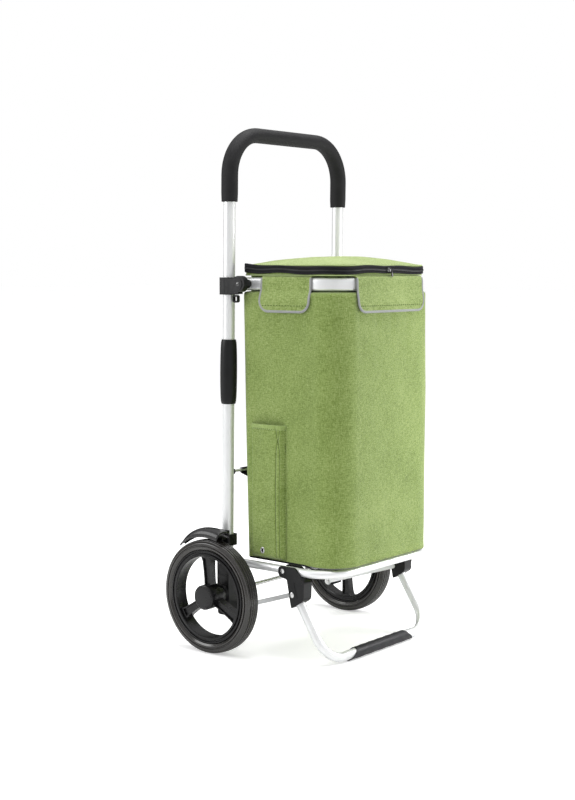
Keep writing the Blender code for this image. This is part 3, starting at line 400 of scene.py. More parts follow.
def places(line, distances):
    """The point on a line and the direction there, at each distance from its start."""
    steps = [b - a for a, b in zip(line, line[1:])]
    lengths = [step.length for step in steps]
    run, index = 0.0, 0
    for distance in distances:
        while index < len(steps) - 1 and run + lengths[index] < distance:
            run += lengths[index]
            index += 1
        part = min((distance - run) / lengths[index], 1.0)
        yield line[index].lerp(line[index + 1], part), steps[index].normalized()


def even_line(line, count):
    total = length_of(line)
    return [point for point, _ in places(line, [total * k / count for k in range(count + 1)])]


def ahead_at(path, i, closed=False):
    """The direction of a path at its point i."""
    if closed:
        return (path[(i + 1) % len(path)] - path[i - 1]).normalized()
    return (path[min(i + 1, len(path) - 1)] - path[max(i - 1, 0)]).normalized()


def solids(stacks, closed=False, caps=True):
    """One mesh of separate skins, each over a stack of rings. A closed skin joins its last ring to its
    first."""
    bm = bmesh.new()
    for rings in stacks:
        rows = [[bm.verts.new(p) for p in ring] for ring in rings]
        for one, two in zip(rows, rows[1:] + rows[:1] if closed else rows[1:]):
            for i in range(len(one)):
                j = (i + 1) % len(one)
                bm.faces.new((one[i], one[j], two[j], two[i]))
        if caps and not closed:
            bm.faces.new(rows[0])
            bm.faces.new(rows[-1])
    bmesh.ops.recalc_face_normals(bm, faces=bm.faces)
    return bm


def loft(rings, closed=False, caps=True):
    return solids([rings], closed, caps)


def capped(rings, is_end):
    """A skin over rings, closed at the open end whose heights pass the test."""
    bm = loft(rings, caps=False)
    edges = [e for e in bm.edges if e.is_boundary and is_end(e.verts[0].co.z)]
    bmesh.ops.contextual_create(bm, geom=edges)
    bmesh.ops.recalc_face_normals(bm, faces=bm.faces)
    return bm


def sheet(rows):
    """An open grid of points as a surface."""
    bm = bmesh.new()
    grid = [[bm.verts.new(p) for p in row] for row in rows]
    for one, two in zip(grid, grid[1:]):
        for i in range(len(one) - 1):
            bm.faces.new((one[i], one[i + 1], two[i + 1], two[i]))
    bmesh.ops.recalc_face_normals(bm, faces=bm.faces)
    return bm


def section_rings(path, normal, outline, closed=False):
    """Copies of a flat section along a flat path. The section's first axis is the path plane's normal."""
    normal = Vector(normal).normalized()
    rings = []
    for i, point in enumerate(path):
        side = normal.cross(ahead_at(path, i, closed))
        rings.append([point + normal * a + side * b for a, b in outline])
    return rings


def sweep(path, normal, outline, hole=None, closed=False):
    outer = section_rings(path, normal, outline, closed)
    if hole is None:
        return loft(outer, closed)
    return loft(outer + section_rings(path, normal, hole)[::-1], closed=True)


def lathe(profile, centre, direction, steps, closed=False):
    """Turns (radius, height) points about an axis. A closed profile makes a ring."""
    turn = Vector((0, 0, 1)).rotation_difference(Vector(direction)).to_matrix()
    return loft([[Vector(centre) + turn @ Vector((x, y, height)) for x, y in circle(radius, steps)]
                 for radius, height in profile], closed)


def rod(start, end, radius, steps=32):
    way = Vector(end) - Vector(start)
    return lathe([(radius, 0), (radius, way.length)], start, way, steps)


def rod_x(point, x_from, x_to, radius, steps=32):
    return rod(at_x(point, x_from), at_x(point, x_to), radius, steps)


def plate_x(outline_yz, x_from, x_to):
    """A flat plate with its outline in Y and Z and its thickness along X."""
    return loft([[Vector((x, y, z)) for y, z in outline_yz] for x in (x_from, x_to)])


def join(*parts):
    """Puts several meshes into one without merging them."""
    whole = bmesh.new()
    for part in parts:
        mesh = bpy.data.meshes.new("joined")
        part.to_mesh(mesh)
        part.free()
        whole.from_mesh(mesh)
        bpy.data.meshes.remove(mesh)
    return whole


def new_object(name, data):
    obj = bpy.data.objects.new(name, data)
    bpy.context.scene.collection.objects.link(obj)
    return obj


def object_from(name, bm):
    mesh = bpy.data.meshes.new(name)
    bm.to_mesh(mesh)
    bm.free()
    return new_object(name, mesh)


def finished_mesh(obj):
    """The object's mesh with its modifiers applied."""
    bpy.context.view_layer.update()
    return bpy.data.meshes.new_from_object(obj.evaluated_get(bpy.context.evaluated_depsgraph_get()))


def combined(bm, unions=(), cuts=()):
    """The mesh with others added to it and cut from it."""
    obj = object_from("tool", bm)
    tools = []
    for operation, shapes in (("UNION", unions), ("DIFFERENCE", cuts)):
        for shape in shapes:
            tools.append(object_from("tool", shape))
            mod = obj.modifiers.new("tool", "BOOLEAN")
            mod.operation = operation
            mod.object = tools[-1]
            mod.solver = "EXACT"
    out = bmesh.new()
    out.from_mesh(finished_mesh(obj))
    for item in tools + [obj]:
        bpy.data.objects.remove(item, do_unlink=True)
    return out


BEVEL_FROM_ANGLE = 38


def make_piece(name, bm, look, node=None, body="main_frame", bevel=0.0, smooth=35, slot=None):
    """Turns a mesh into a finished piece that rides on a CAD body and may stand for a CAD node."""
    bmesh.ops.translate(bm, verts=bm.verts, vec=AXLE)
    obj = object_from(name, bm)
    obj.data.materials.append(look)
    if bevel:
        mod = obj.modifiers.new("soft_edges", "BEVEL")
        mod.width = bevel
        mod.segments = 3
        mod.limit_method = "ANGLE"
        mod.angle_limit = math.radians(BEVEL_FROM_ANGLE)
        mod.use_clamp_overlap = True
        mod.harden_normals = True
    obj.data.shade_smooth()
    obj.data.set_sharp_from_angle(angle=math.radians(smooth))
    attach(obj, body)
    if node:
        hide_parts(node)
    slot or SLOT_OF[look.name]
    return obj


def add_thickness(obj, thick, way, inner_material=0, even=True):
    """Thickens an open sheet on the side that faces away from a direction, or, without a direction, on
    the side opposite its normals."""
    outward = way is not None and sum(p.normal.dot(Vector(way)) for p in obj.data.polygons) < 0
    mod = obj.modifiers.new("thickness", "SOLIDIFY")
    mod.thickness = thick
    mod.offset = 1.0 if outward else -1.0
    mod.use_even_offset = even
    mod.material_offset = inner_material


def stitches(line, out_way, length=3.2 * MM, gap=1.8 * MM, thick=0.42 * MM):
    """A row of thread stitches along a line. out_way gives the cloth's normal at a point."""
    total = length_of(line)
    count = max(1, int(total / (length + gap)))
    ends = [total * (k + share) / count for k in range(count) for share in (0.0, length / (length + gap))]
    marks = [point for point, _ in places(line, ends)]
    stacks = []
    for start, end in zip(marks[::2], marks[1::2]):
        up = Vector(out_way(start)).normalized()
        across = (end - start).normalized().cross(up)
        stacks.append([[start.lerp(end, share) + across * a + up * b for a, b in circle(thick * size, 6)]
                       for share, size in ((0, 0.35), (0.2, 1), (0.8, 1), (1, 0.35))])
    return solids(stacks)


# ---- frame tubes and handle -----------------------------------------------------------------------
HANDLE_BEND_R = 0.080
TUBE_STEPS = 40
TUBE_WALL = 1.5 * MM
FIT = 0.3 * MM


def ring_tube(path, normal, radius, wall=TUBE_WALL):
    return sweep(path, normal, circle(radius, TUBE_STEPS), circle(radius - wall, TUBE_STEPS))


def post_bore(sign, low_z, high_z):
    """The hole that a clamp has for its upright."""
    return rod(on_post(sign, low_z), on_post(sign, high_z), POST_R + FIT, 48)


def build_uprights():
    for side, sign in SIDES.items():
        path = divided(on_post(sign, POST_LOW), on_post(sign, POST_HIGH), 0.05)
        make_piece("upright_tube_" + side, ring_tube(path, POST_PLANE, POST_R), ALU_UPRIGHT,
                   "upright_" + side, bevel=0.4 * MM)


def handle_path(low_z):
    top = box_of("handle_tube")[1].z - POST_R
    corners = [on_post(-1, low_z), on_post(-1, top), on_post(1, top), on_post(1, low_z)]
    return rounded_path(corners, HANDLE_BEND_R, 20)


def build_handle():
    """The tube loop and its foam sleeve, which is a little uneven and slimmer at its ends."""
    tube = ring_tube(handle_path(box_of("handle_tube")[0].z), POST_PLANE, POST_R)
    make_piece("handle_loop", tube, ALU_UPRIGHT, "handle_tube", bevel=0.4 * MM)
    low, high = box_of("handle_grip")
    deep = (high.y - low.y) / 2 - abs(POST_LEAN) * (high.z - low.z) / 2
    flat = high.z - (box_of("handle_tube")[1].z - POST_R)
    path = handle_path(low.z)
    length = length_of(path)
    outer, run = [], 0.0
    for i, ring in enumerate(section_rings(path, POST_PLANE, circle(1.0, 48))):
        middle = path[i]
        if i:
            run += (middle - path[i - 1]).length
        swell = 1.0 - 0.045 * math.exp(-min(run, length - run) / (2.5 * MM))
        swell += 0.006 * noise.noise(middle * 30)
        row = []
        for off in (p - middle for p in ring):
            a = off.dot(POST_PLANE)
            row.append(middle + POST_PLANE * (a * deep * swell) + (off - POST_PLANE * a) * (flat * swell))
        outer.append(row)
    inner = section_rings(path, POST_PLANE, circle(POST_R + FIT, 48))
    make_piece("grip_foam_sleeve", loft(outer + inner[::-1], closed=True), FOAM, "handle_grip",
               bevel=0.8 * MM)


def build_joint_sleeves():
    low, high = box_of("joint_sleeve_left")
    length = high.z - low.z
    end = [(POST_R + FIT, 0)] + in_mm((13.4, 0), (14.2, 0.7), (14.3, 3.4), (14.9, 4.4))
    steps = 16
    rings = end + [(15.0 * MM + 1.6 * MM * math.sin(math.pi * k / steps) ** 0.6,
                    5 * MM + (length - 10 * MM) * k / steps) for k in range(steps + 1)]
    rings += [(r, length - h) for r, h in reversed(end)]
    for side, sign in SIDES.items():
        make_piece("barrel_sleeve_" + side, lathe(rings, on_post(sign, low.z), POST_WAY, 48, closed=True),
                   PLASTIC, "joint_sleeve_" + side, bevel=0.3 * MM)


def build_cross_rod():
    low, high = box_of("cross_rod")
    middle = box_centre("cross_rod")
    make_piece("back_cross_rod", rod_x(middle, low.x, high.x, (high.z - low.z) / 2), ALU_LEVEL, "cross_rod",
               bevel=0.3 * MM, slot="plated_steel")
    flange = in_mm((3.1, 0), (7.0, 0), (7.4, 0.6), (6.0, 3.0), (3.1, 3.4))
    for side, sign in SIDES.items():
        start = at_x(middle, sign * (abs(low.x) - 0.4 * MM))
        make_piece("cross_rod_cup_" + side, lathe(flange, start, (-sign, 0, 0), 28, closed=True), PLASTIC,
                   bevel=0.3 * MM)


# ---- top ring -------------------------------------------------------------------------------------
TOP_LOW, TOP_HIGH = box_of("top_bar")
TOP_Z = (TOP_LOW.z + TOP_HIGH.z) / 2
BAR_HIGH = TOP_HIGH.z - TOP_LOW.z
BAR_THICK = 15.0 * MM
BAR_CORNER_R = 66.0 * MM


def flat_oval(inset, round_r):
    """The bar's section, smaller all round by half the inset."""
    return rounded_box((BAR_HIGH - inset) / 2, (BAR_THICK - inset) / 2, round_r, 6)


def build_top_bar():
    x = TOP_HIGH.x - BAR_THICK / 2
    path = u_path(x, TOP_LOW.y + BAR_THICK / 2, TOP_HIGH.y, TOP_Z, BAR_CORNER_R - BAR_THICK / 2, 18)
    bm = sweep(path, (0, 0, 1), flat_oval(0, 6.2 * MM), flat_oval(2.8 * MM, 4.8 * MM))
    make_piece("top_bar_extrusion", combined(bm, cuts=[rod_x(PIVOT_T, -0.18, 0.18, 4.3 * MM)]), ALU_LEVEL,
               "top_bar", "top_ring")
    steps = in_mm((-4.0, 3.4), (0.2, 3.4), (0.3, 0.2), (1.4, 0.2), (2.0, 1.6))
    for side, sign in SIDES.items():
        plug = loft([[Vector((sign * x + b, TOP_HIGH.y + y, TOP_Z + a))
                      for a, b in flat_oval(inset, 5.6 * MM - inset / 2)] for y, inset in steps])
        make_piece("top_bar_plug_" + side, plug, PLASTIC, None, "top_ring", 0.3 * MM)


def rivet_profile(head, shank, length, dome):
    """A round-headed rivet from the top of one head to the end of the other."""
    points = [(head * math.sin(t), dome * (1 - math.cos(t))) for t in (math.pi / 12 * k for k in range(1, 7))]
    tail = [(head * 0.95, length - dome * 0.8), (head * 0.8, length - dome * 0.2), (head * 0.2, length)]
    return [(0.15 * head, 0.0)] + points + [(shank, dome + 0.1 * MM), (shank, length - dome)] + tail


def build_top_brackets():
    """Clamps round the uprights with an ear for the top bar's pivot, split at the outside."""
    low, high = box_of("top_bracket_left")
    ear_r, ear_x = (high.z - low.z) / 2, 0.1725
    outer_x, boss_x = abs(low.x), abs(high.x)
    post_y = on_post(0, (high.z + low.z) / 2).y
    bridge = box_corners(post_y, PIVOT_T.y, low.z + 1.4 * MM, high.z - 1.4 * MM)
    gap = [(y, z) for z, y in box_corners(low.z - 0.01, high.z + 0.01, post_y + 0.3 * MM, post_y - 0.5 * MM)]
    for side, sign in SIDES.items():
        flat = rounded_box(14.6 * MM, 14.6 * MM, 5.0 * MM, 5)
        collar = loft([[Vector((sign * POST_X + a, post_y + b, level)) for a, b in flat]
                       for level in (low.z, high.z)])
        ears = [plate_x(bridge, sign * ear_x, sign * (outer_x - 0.4 * MM)),
                rod_x(PIVOT_T, sign * ear_x, sign * (outer_x - 0.3 * MM), ear_r - 1.0 * MM, 64),
                rod_x(PIVOT_T, sign * (ear_x - 0.3 * MM), sign * (outer_x + 0.9 * MM), 10.5 * MM, 48),
                rod_x(PIVOT_T, sign * (boss_x + 0.1 * MM), sign * (ear_x + 1.0 * MM), 8.0 * MM, 40)]
        cuts = [post_bore(sign, 0.66, 0.76), rod_x(PIVOT_T, sign * 0.13, sign * 0.20, 4.2 * MM),
                plate_x(gap, sign * (POST_X + 14.0 * MM), sign * (POST_X + 16.0 * MM))]
        make_piece("top_clamp_" + side, combined(collar, ears, cuts), PLASTIC, "top_bracket_" + side,
                   bevel=0.7 * MM)
        profile = rivet_profile(4.2 * MM, 3.9 * MM, box_size("top_pivot_rivet_left").x + 0.6 * MM, 1.4 * MM)
        head = at_x(PIVOT_T, sign * (outer_x + 0.9 * MM + 1.6 * MM))
        make_piece("top_rivet_" + side, lathe(profile, head, (-sign, 0, 0), 32), DARK_STEEL,
                   "top_pivot_rivet_" + side)


def build_lock_loops():
    """Small plastic release loops under the top brackets."""
    inset = 1.9 * MM
    for side in SIDES:
        node = "lock_loop_" + side
        low, high = box_of(node)
        corners = box_corners(high.z - inset, low.z + inset, high.y - inset, low.y + inset)
        flat = rounded_outline([(y, z) for z, y in corners], 2.2 * MM, 5)
        path = [Vector(((low.x + high.x) / 2, *place)) for place in flat]
        bm = sweep(path, (1, 0, 0), rounded_box(3.6 * MM, 1.7 * MM, 1.2 * MM, 3), closed=True)
        make_piece("release_loop_" + side, bm, PLASTIC, node)


# ---- axle blocks, axle and mudguards --------------------------------------------------------------
PIN_HOLE_R = 3.2 * MM
CLAMP_HALF = 14.0 * MM
AXLE_MIDDLE = Vector((0, 0, WHEEL_R))


def ramp(value, low, high):
    part = min(max((value - low) / (high - low), 0.0), 1.0)
    return part * part * (3 - 2 * part)


def build_axle_blocks():
    """Blocks that carry the uprights, the axle and the base tube's pivots, with three hollows outside."""
    low, high = box_of("axle_block_left")
    face_x = POST_X + CLAMP_HALF
    shoulder = low.z + 0.028
    outline = rounded_outline([(0.0130, low.z), (-0.0120, low.z), (-0.0155, shoulder), (-0.0155, high.z),
                               (0.0145, high.z), (0.0145, shoulder)],
                              [6 * MM, 6 * MM, 10 * MM, 2.5 * MM, 2.5 * MM, 10 * MM], 6)
    lug = rounded_outline(box_corners(0.010, PIVOT_A.y - 9 * MM, PIVOT_A.z - 9 * MM, PIVOT_A.z + 9 * MM),
                          [0, 8.8 * MM, 8.8 * MM, 0], 8)
    for side, sign in SIDES.items():
        block = plate_x(outline, sign * (POST_X - CLAMP_HALF), sign * face_x)
        ear = plate_x(lug, sign * (box_of("base_tube")[1].x + 0.6 * MM), sign * face_x)
        boss_foot = at_x(AXLE_MIDDLE, sign * (face_x - 0.5 * MM))
        boss = lathe(in_mm((15, 0), (13, 5)), boss_foot, (sign, 0, 0), 40)
        cuts = [post_bore(sign, POST_LOW - 0.4 * MM, 0.25),
                rod_x(AXLE_MIDDLE, sign * 0.14, sign * 0.20, 4.2 * MM),
                rod_x(PIVOT_A, sign * 0.14, sign * 0.20, PIN_HOLE_R),
                rod_x(PIVOT_D, sign * 0.14, sign * 0.166, PIN_HOLE_R)]
        for height in (0.092, 0.134, 0.152):
            hollow = rounded_box(-11.5 * MM, 5 * MM, 2 * MM, 3, (0, height))
            cuts.append(plate_x(hollow, sign * (POST_X + 12.8 * MM), sign * (POST_X + 16 * MM)))
        make_piece("axle_carrier_" + side, combined(block, [ear, boss], cuts), PLASTIC, "axle_block_" + side,
                   bevel=0.6 * MM)


def build_fenders():
    """Glossy mudguards: a crowned shell with turned-down edges that narrows to a rounded tip and comes
    closer to the tyre towards it."""
    low, high = box_of("fender_left")
    inner_x, width = min(abs(low.x), abs(high.x)), high.x - low.x
    steps, across = 44, 24
    first, last = math.radians(-15), math.radians(39)
    for side, sign in SIDES.items():
        rows = []
        for part in (i / steps for i in range(steps + 1)):
            turn = first + (last - first) * part
            narrow = 1 - 0.60 * ramp(part, 0.62, 1.12)
            skirt = 13.0 * MM * (1 - 0.85 * ramp(part, 0.45, 1.0))
            middle_r = 0.1322 - 0.0110 * ramp(turn, math.radians(8), math.radians(40))
            row = []
            for share in (k / across for k in range(across + 1)):
                x = inner_x + width * (0.5 + (share - 0.5) * narrow)
                edge = (2 * abs(share - 0.5)) ** 7
                radius = middle_r + (2.4 * MM * math.sin(math.pi * share) - 1.5 * MM * share - skirt * edge)
                row.append(Vector((sign * x, radius * math.sin(turn), WHEEL_R + radius * math.cos(turn))))
            rows.append(row)
        obj = make_piece("mudguard_" + side, sheet(rows), GLOSS, "fender_" + side, smooth=60)
        add_thickness(obj, 2.2 * MM, (0, 0, 1))


def build_fender_clamps():
    flat = rounded_box(14.8 * MM, 14.8 * MM, 6 * MM, 6)
    for side, sign in SIDES.items():
        low, high = box_of("fender_clamp_" + side)
        base, top = low.z, 0.2275
        middle = on_post(sign, base)
        collar = loft([[middle + Vector((a, b, z - base)) for a, b in flat] for z in (base, top)])
        arm = box_corners(0.010, -0.012, 0.2185, high.z)
        link = plate_x(rounded_outline(arm, 3 * MM, 5), sign * 0.1780, sign * max(abs(low.x), abs(high.x)))
        make_piece("mudguard_clamp_" + side, combined(collar, [link], [post_bore(sign, 0.18, 0.26)]), PLASTIC,
                   "fender_clamp_" + side, bevel=0.8 * MM)


def pin_profile(length, blind):
    head = in_mm((1.0, 0), (4.4, 0.1), (5.3, 0.7), (5.3, 1.3), (3.0, 1.4))
    tail = ((3.0, 0.5), (2.4, 0)) if blind else ((3.0, 1.4), (4.8, 1.3), (4.6, 0.5), (1.0, 0))
    return head + [(r * MM, length - back * MM) for r, back in tail]


def build_pins():
    """Round-headed pins and rivets of the folding joints."""
    groups = (("base_pivot_pin_", "main_frame", False, 1), ("link_pivot_pin_", "main_frame", True, 1),
              ("stand_pivot_rivet_", "base_frame", False, 1), ("link_rivet_", "front_stand", True, -1))
    for prefix, body, blind, way in groups:
        for side, sign in SIDES.items():
            node = prefix + side
            near, far = sorted(abs(corner.x) for corner in box_of(node))
            start = at_x(box_centre(node), sign * (near if way > 0 else far))
            bm = lathe(pin_profile(far - near, blind), start, (sign * way, 0, 0), 32)
            make_piece("steel_" + node, bm, STEEL, node, body)


def build_axle():
    low, high = box_of("axle")
    length, radius, chamfer = high.x - low.x, (high.z - low.z) / 2, 0.8 * MM
    slim = radius - chamfer
    profile = [(slim, 0), (radius, chamfer), (radius, length - chamfer), (slim, length)]
    make_piece("axle_rod", lathe(profile, at_x(AXLE_MIDDLE, low.x), (1, 0, 0), 32), STEEL, "axle")


# ---- base tube, stand and side links --------------------------------------------------------------
STAND_TUBE_R = 9.0 * MM
THIN_WALL = 1.4 * MM


def build_base_tube():
    low, high = box_of("base_tube")
    radius = (high.z - low.z) / 2
    x = high.x - radius
    bm = ring_tube(u_path(x, low.y + radius, high.y, PIVOT_A.z, 0.060, 18), (0, 0, 1), radius, THIN_WALL)
    drills = [rod_x(point, -0.19, 0.19, PIN_HOLE_R) for point in (PIVOT_A, PIVOT_B)]
    make_piece("base_loop", combined(bm, cuts=drills), ALU_LEVEL, "base_tube", "base_frame")
    profile = [(radius - inset * MM, height * MM)
               for inset, height in ((1.6, -6), (1.6, 0.2), (0.1, 0.3), (0.3, 1.2), (2.5, 1.8))]
    for side, sign in SIDES.items():
        plug = lathe(profile, (sign * x, high.y, PIVOT_A.z), (0, 1, 0), 32)
        make_piece("base_tube_plug_" + side, plug, PLASTIC, body="base_frame")


def stand_frame():
    """Unit vector up along the legs, the foot bar's centre and the upper end of a leg."""
    low, high = box_of("stand_tube")
    foot = Vector((0, low.y + STAND_TUBE_R, low.z + STAND_TUBE_R))
    up = (at_x(PIVOT_C, 0) - foot).normalized()
    return up, foot, at_x(PIVOT_C, 0) + up * 8.0 * MM, high.x - STAND_TUBE_R


def build_stand_tube():
    up, foot, top, x = stand_frame()
    path = rounded_path([at_x(top, -x), at_x(foot, -x), at_x(foot, x), at_x(top, x)], 0.048, 18)
    bm = ring_tube(path, up.cross(Vector((1, 0, 0))), STAND_TUBE_R, THIN_WALL)
    drill = rod_x(PIVOT_C, -0.19, 0.19, PIN_HOLE_R)
    make_piece("stand_loop", combined(bm, cuts=[drill]), ALU_UPRIGHT, "stand_tube", "front_stand")


def build_stand_brackets():
    """Fork round the base tube with a socket for the leg and a stiffening rib."""
    up, _, top, x = stand_frame()
    across = Vector((0, up.z, -up.y))
    b, c = PIVOT_B, at_x(PIVOT_C, 0)
    rear_low = c - up * 21.5 * MM + across * 16.0 * MM
    front_low = c - up * 21.5 * MM - across * 19.0 * MM

    def from_b(*places_mm):
        return [(b.y + y * MM, b.z + z * MM) for y, z in places_mm]

    corners = from_b((10.5, 9.5), (10.5, -10.5), (-10.0, -15.0)) + [
        (rear_low.y, rear_low.z), (front_low.y, front_low.z)] + from_b((-52.0, -16.5), (-30.0, 9.5))
    outline = rounded_outline(corners, [r * MM for r in (8, 8, 2.5, 2.5, 12, 6, 10)], 8)
    slot = from_b((30, 30), (30, -75), (-8.6, -75), (-8.6, -8.6), (-90, -8.6), (-90, 30))
    rib = rounded_outline(from_b((-26, -16), (-47, -20), (-54, -42), (-36, -50)), 3 * MM, 4)
    for side, sign in SIDES.items():
        cx = sign * x
        socket = rod(at_x(c - up * 0.06, cx), at_x(top + up * 0.4 * MM, cx), STAND_TUBE_R + FIT, 48)
        holes = [rod_x(point, sign * 0.14, sign * 0.19, PIN_HOLE_R) for point in (b, c)]
        cuts = [plate_x(slot, cx - 8.6 * MM, cx + 8.6 * MM), socket, *holes,
                plate_x(rib, cx + sign * 11.6 * MM, cx + sign * 14 * MM)]
        rings = [rod_x(point, sign * (x + 11.9 * MM), sign * (x + 12.9 * MM), r, 40)
                 for point, r in ((b, 8.4 * MM), (c, 6.6 * MM))]
        fork = combined(plate_x(outline, cx - 12.4 * MM, cx + 12.4 * MM), rings, cuts)
        make_piece("stand_fork_" + side, fork, PLASTIC, "stand_bracket_" + side, "front_stand", 0.6 * MM)


def build_foot_sleeve():
    """Clip-on cover of the foot bar, cut slantwise at its ends and open at the back."""
    _, foot, _, _ = stand_frame()
    low, high = box_of("foot_sleeve")
    bore, outer_r, floor = STAND_TUBE_R + FIT, foot.y - low.y, low.z - foot.z
    turns = [math.radians(-58 + 296 * i / 40) for i in range(41)]
    outer = [(-outer_r * math.sin(t), max(-outer_r * math.cos(t), floor)) for t in turns]
    inner = [(-bore * math.sin(t), -bore * math.cos(t)) for t in turns]
    rings = []
    for share in (-1 + 2 * k / 24 for k in range(25)):
        ring = []
        for y, z in outer + inner[::-1]:
            reach = high.x - 28.0 * MM * (z - floor) / (2 * foot.z)
            rib = 0.35 * MM * math.cos(18 * math.pi * share) * (1 if abs(share) < 0.93 else 0)
            grow = 1 + rib / outer_r if math.hypot(y, z) > bore + 1 * MM and z > floor else 1
            ring.append(foot + Vector((share * reach, y * grow, z * grow)))
        rings.append(ring)
    make_piece("foot_cover", loft(rings), FOOT_PLASTIC, "foot_sleeve", "front_stand", 0.5 * MM)


def link_outline(start, end, half, eye_r):
    """A flat bar with a round eye at its start and a round end, as points in Y and Z."""
    along = (end - start).normalized()
    across = Vector((0, -along.z, along.y))
    shoulder = math.asin(half / eye_r)
    arcs = ((start, eye_r, shoulder, 2 * math.pi - shoulder, 32), (end, half, -math.pi / 2, math.pi / 2, 14))
    points = []
    for centre, radius, first, last, steps in arcs:
        for turn in (first + (last - first) * k / steps for k in range(steps + 1)):
            p = centre + (along * math.cos(turn) + across * math.sin(turn)) * radius
            points.append((p.y, p.z))
    return points


def build_links():
    outline = link_outline(at_x(PIVOT_D, 0), at_x(PIVOT_C, 0), 4.5 * MM, 7.5 * MM)
    for side, sign in SIDES.items():
        low, high = box_of("link_" + side)
        drill = rod_x(PIVOT_D, sign * 0.14, sign * 0.17, PIN_HOLE_R)
        bar = combined(plate_x(outline, low.x, high.x), cuts=[drill])
        make_piece("side_bar_" + side, bar, ALU_LEVEL, "link_" + side, "side_link_" + side, 0.5 * MM)


# ---- wheels ---------------------------------------------------------------------------------------
WHEEL_STEPS = 120
TYRE_INNER_R = 0.0920
RIM_INNER_R = 0.0795
HUB_OUTER = 19.5 * MM
HUB_INNER = 21.5 * MM


def both_sides(right):
    """A closed wheel profile from its half on the right of the wheel's middle plane."""
    return [(r, -w) for r, w in right] + [(r, w) for r, w in reversed(right)]


def tyre_profile():
    """Five rounded tread ribs between grooves, shoulders, and a stepped side wall with a raised ring."""
    half = box_size("tyre_left").x / 2
    wall = [(TYRE_INNER_R + r * MM, half - inset * MM) for r, inset in (
        (0, 3.6), (1.2, 2.2), (3.2, 1.7), (4.0, 0.5), (5.6, 0.1), (7.2, 0.5), (8.0, 2.4), (9.4, 2.4),
        (10.4, 0.8), (12.4, 0.6), (14.0, 1.4))]
    step = (half - 3.4 * MM) / 2.4
    edge = step * 0.40
    ribs = []
    for at in (2 * step, step, 0.0):
        crown = WHEEL_R - 2.0 * MM * (at / half) ** 2
        rib = [(crown - 3.2 * MM, at + edge), (crown - 1.1 * MM, at + edge - 0.1 * MM),
               (crown - 0.3 * MM, at + edge * 0.72), (crown, at + edge * 0.25)]
        ribs += rib + [(r, 2 * at - w) for r, w in reversed(rib) if at > 0]
    return both_sides(wall + ribs)


def rim_profile():
    bed = [(TYRE_INNER_R - drop * MM, w * MM) for drop, w in (
        (0.3, 12.6), (0.9, 14.6), (3.5, 15.2), (4.5, 12.6), (6.7, 12.2), (7.7, 14.6))]
    lip = [(RIM_INNER_R + rise * MM, w * MM) for rise, w in ((1.2, 15.0), (0, 13.4), (0.9, 4.0))]
    return both_sides(bed + lip)


SPOKE_STATIONS = ((14, 8.8, 9.4), (22, 7.6, 8.8), (34, 7.6, 8.4), (52, 8.4, 8.2), (68, 9.4, 8.4),
                  (75, 10.8, 8.8), (80.5, 14.0, 9.4))


def spoke_mesh(sign, centre, turn):
    """A box spoke, waisted, and the long recesses of its two faces that leave raised edges. A station has
    the distance from the axle, half the width and half the depth in mm."""
    out = Vector((0, math.sin(turn), math.cos(turn)))
    wide = Vector((0, math.cos(turn), -math.sin(turn)))

    def block(stations, inner, outer, margin=0.0):
        corners = ((-1, inner), (1, inner), (1, outer), (-1, outer))
        return loft([[centre + out * reach * MM + wide * (a * (half - margin) * MM)
                      + Vector((sign, 0, 0)) * (d * deep * MM) for a, d in corners]
                     for reach, half, deep in stations])

    inside = SPOKE_STATIONS[1:-1]
    return block(SPOKE_STATIONS, -1.0, 1.0), [block(inside, 0.60, 1.2, 2.6), block(inside, -1.2, -0.60, 2.6)]


def build_wheel(side, sign, first_turn):
    centre = Vector((sign * WHEEL_X, 0, WHEEL_R))

    def turned(profile, steps, closed=False):
        return lathe(profile, centre, (sign, 0, 0), steps, closed)

    body = "wheel_" + side
    make_piece("rubber_tyre_" + side, turned(tyre_profile(), WHEEL_STEPS, True), RUBBER, "tyre_" + side, body,
               smooth=50)
    hub = [(19.4 * MM, -HUB_INNER), (20.6 * MM, -HUB_INNER + 1.2 * MM), (23.6 * MM, -8 * MM),
           (24.4 * MM, 8 * MM), (24.0 * MM, HUB_OUTER - 1.0 * MM), (23.4 * MM, HUB_OUTER)]
    rim, unions, cuts = turned(rim_profile(), WHEEL_STEPS, True), [turned(hub, 64)], []
    for i in range(3):
        spoke, recesses = spoke_mesh(sign, centre, first_turn + 2 * math.pi * i / 3)
        unions.append(spoke)
        cuts += recesses
    cuts.append(turned([(18.0 * MM, HUB_OUTER - 5.0 * MM), (18.0 * MM, HUB_OUTER + 10 * MM)], 48))
    cuts.append(turned([(7.8 * MM, -0.04), (7.8 * MM, 0.04)], 40))
    make_piece("spoked_rim_" + side, combined(rim, unions, cuts), WHEEL_PLASTIC, "wheel_rim_" + side, body,
               0.5 * MM, 32)
    cap = [(r, HUB_OUTER + h) for r, h in in_mm(
        (1.0, 3.9), (13.0, 3.7), (19.8, 3.2), (20.4, 2.6), (21.0, 3.0), (22.6, 2.8), (24.0, 1.8), (24.3, 0.4),
        (17.6, 0.2))]
    make_piece("wheel_cap_" + side, turned(cap, 64), WHEEL_PLASTIC, "hub_cap_" + side, body, smooth=40)


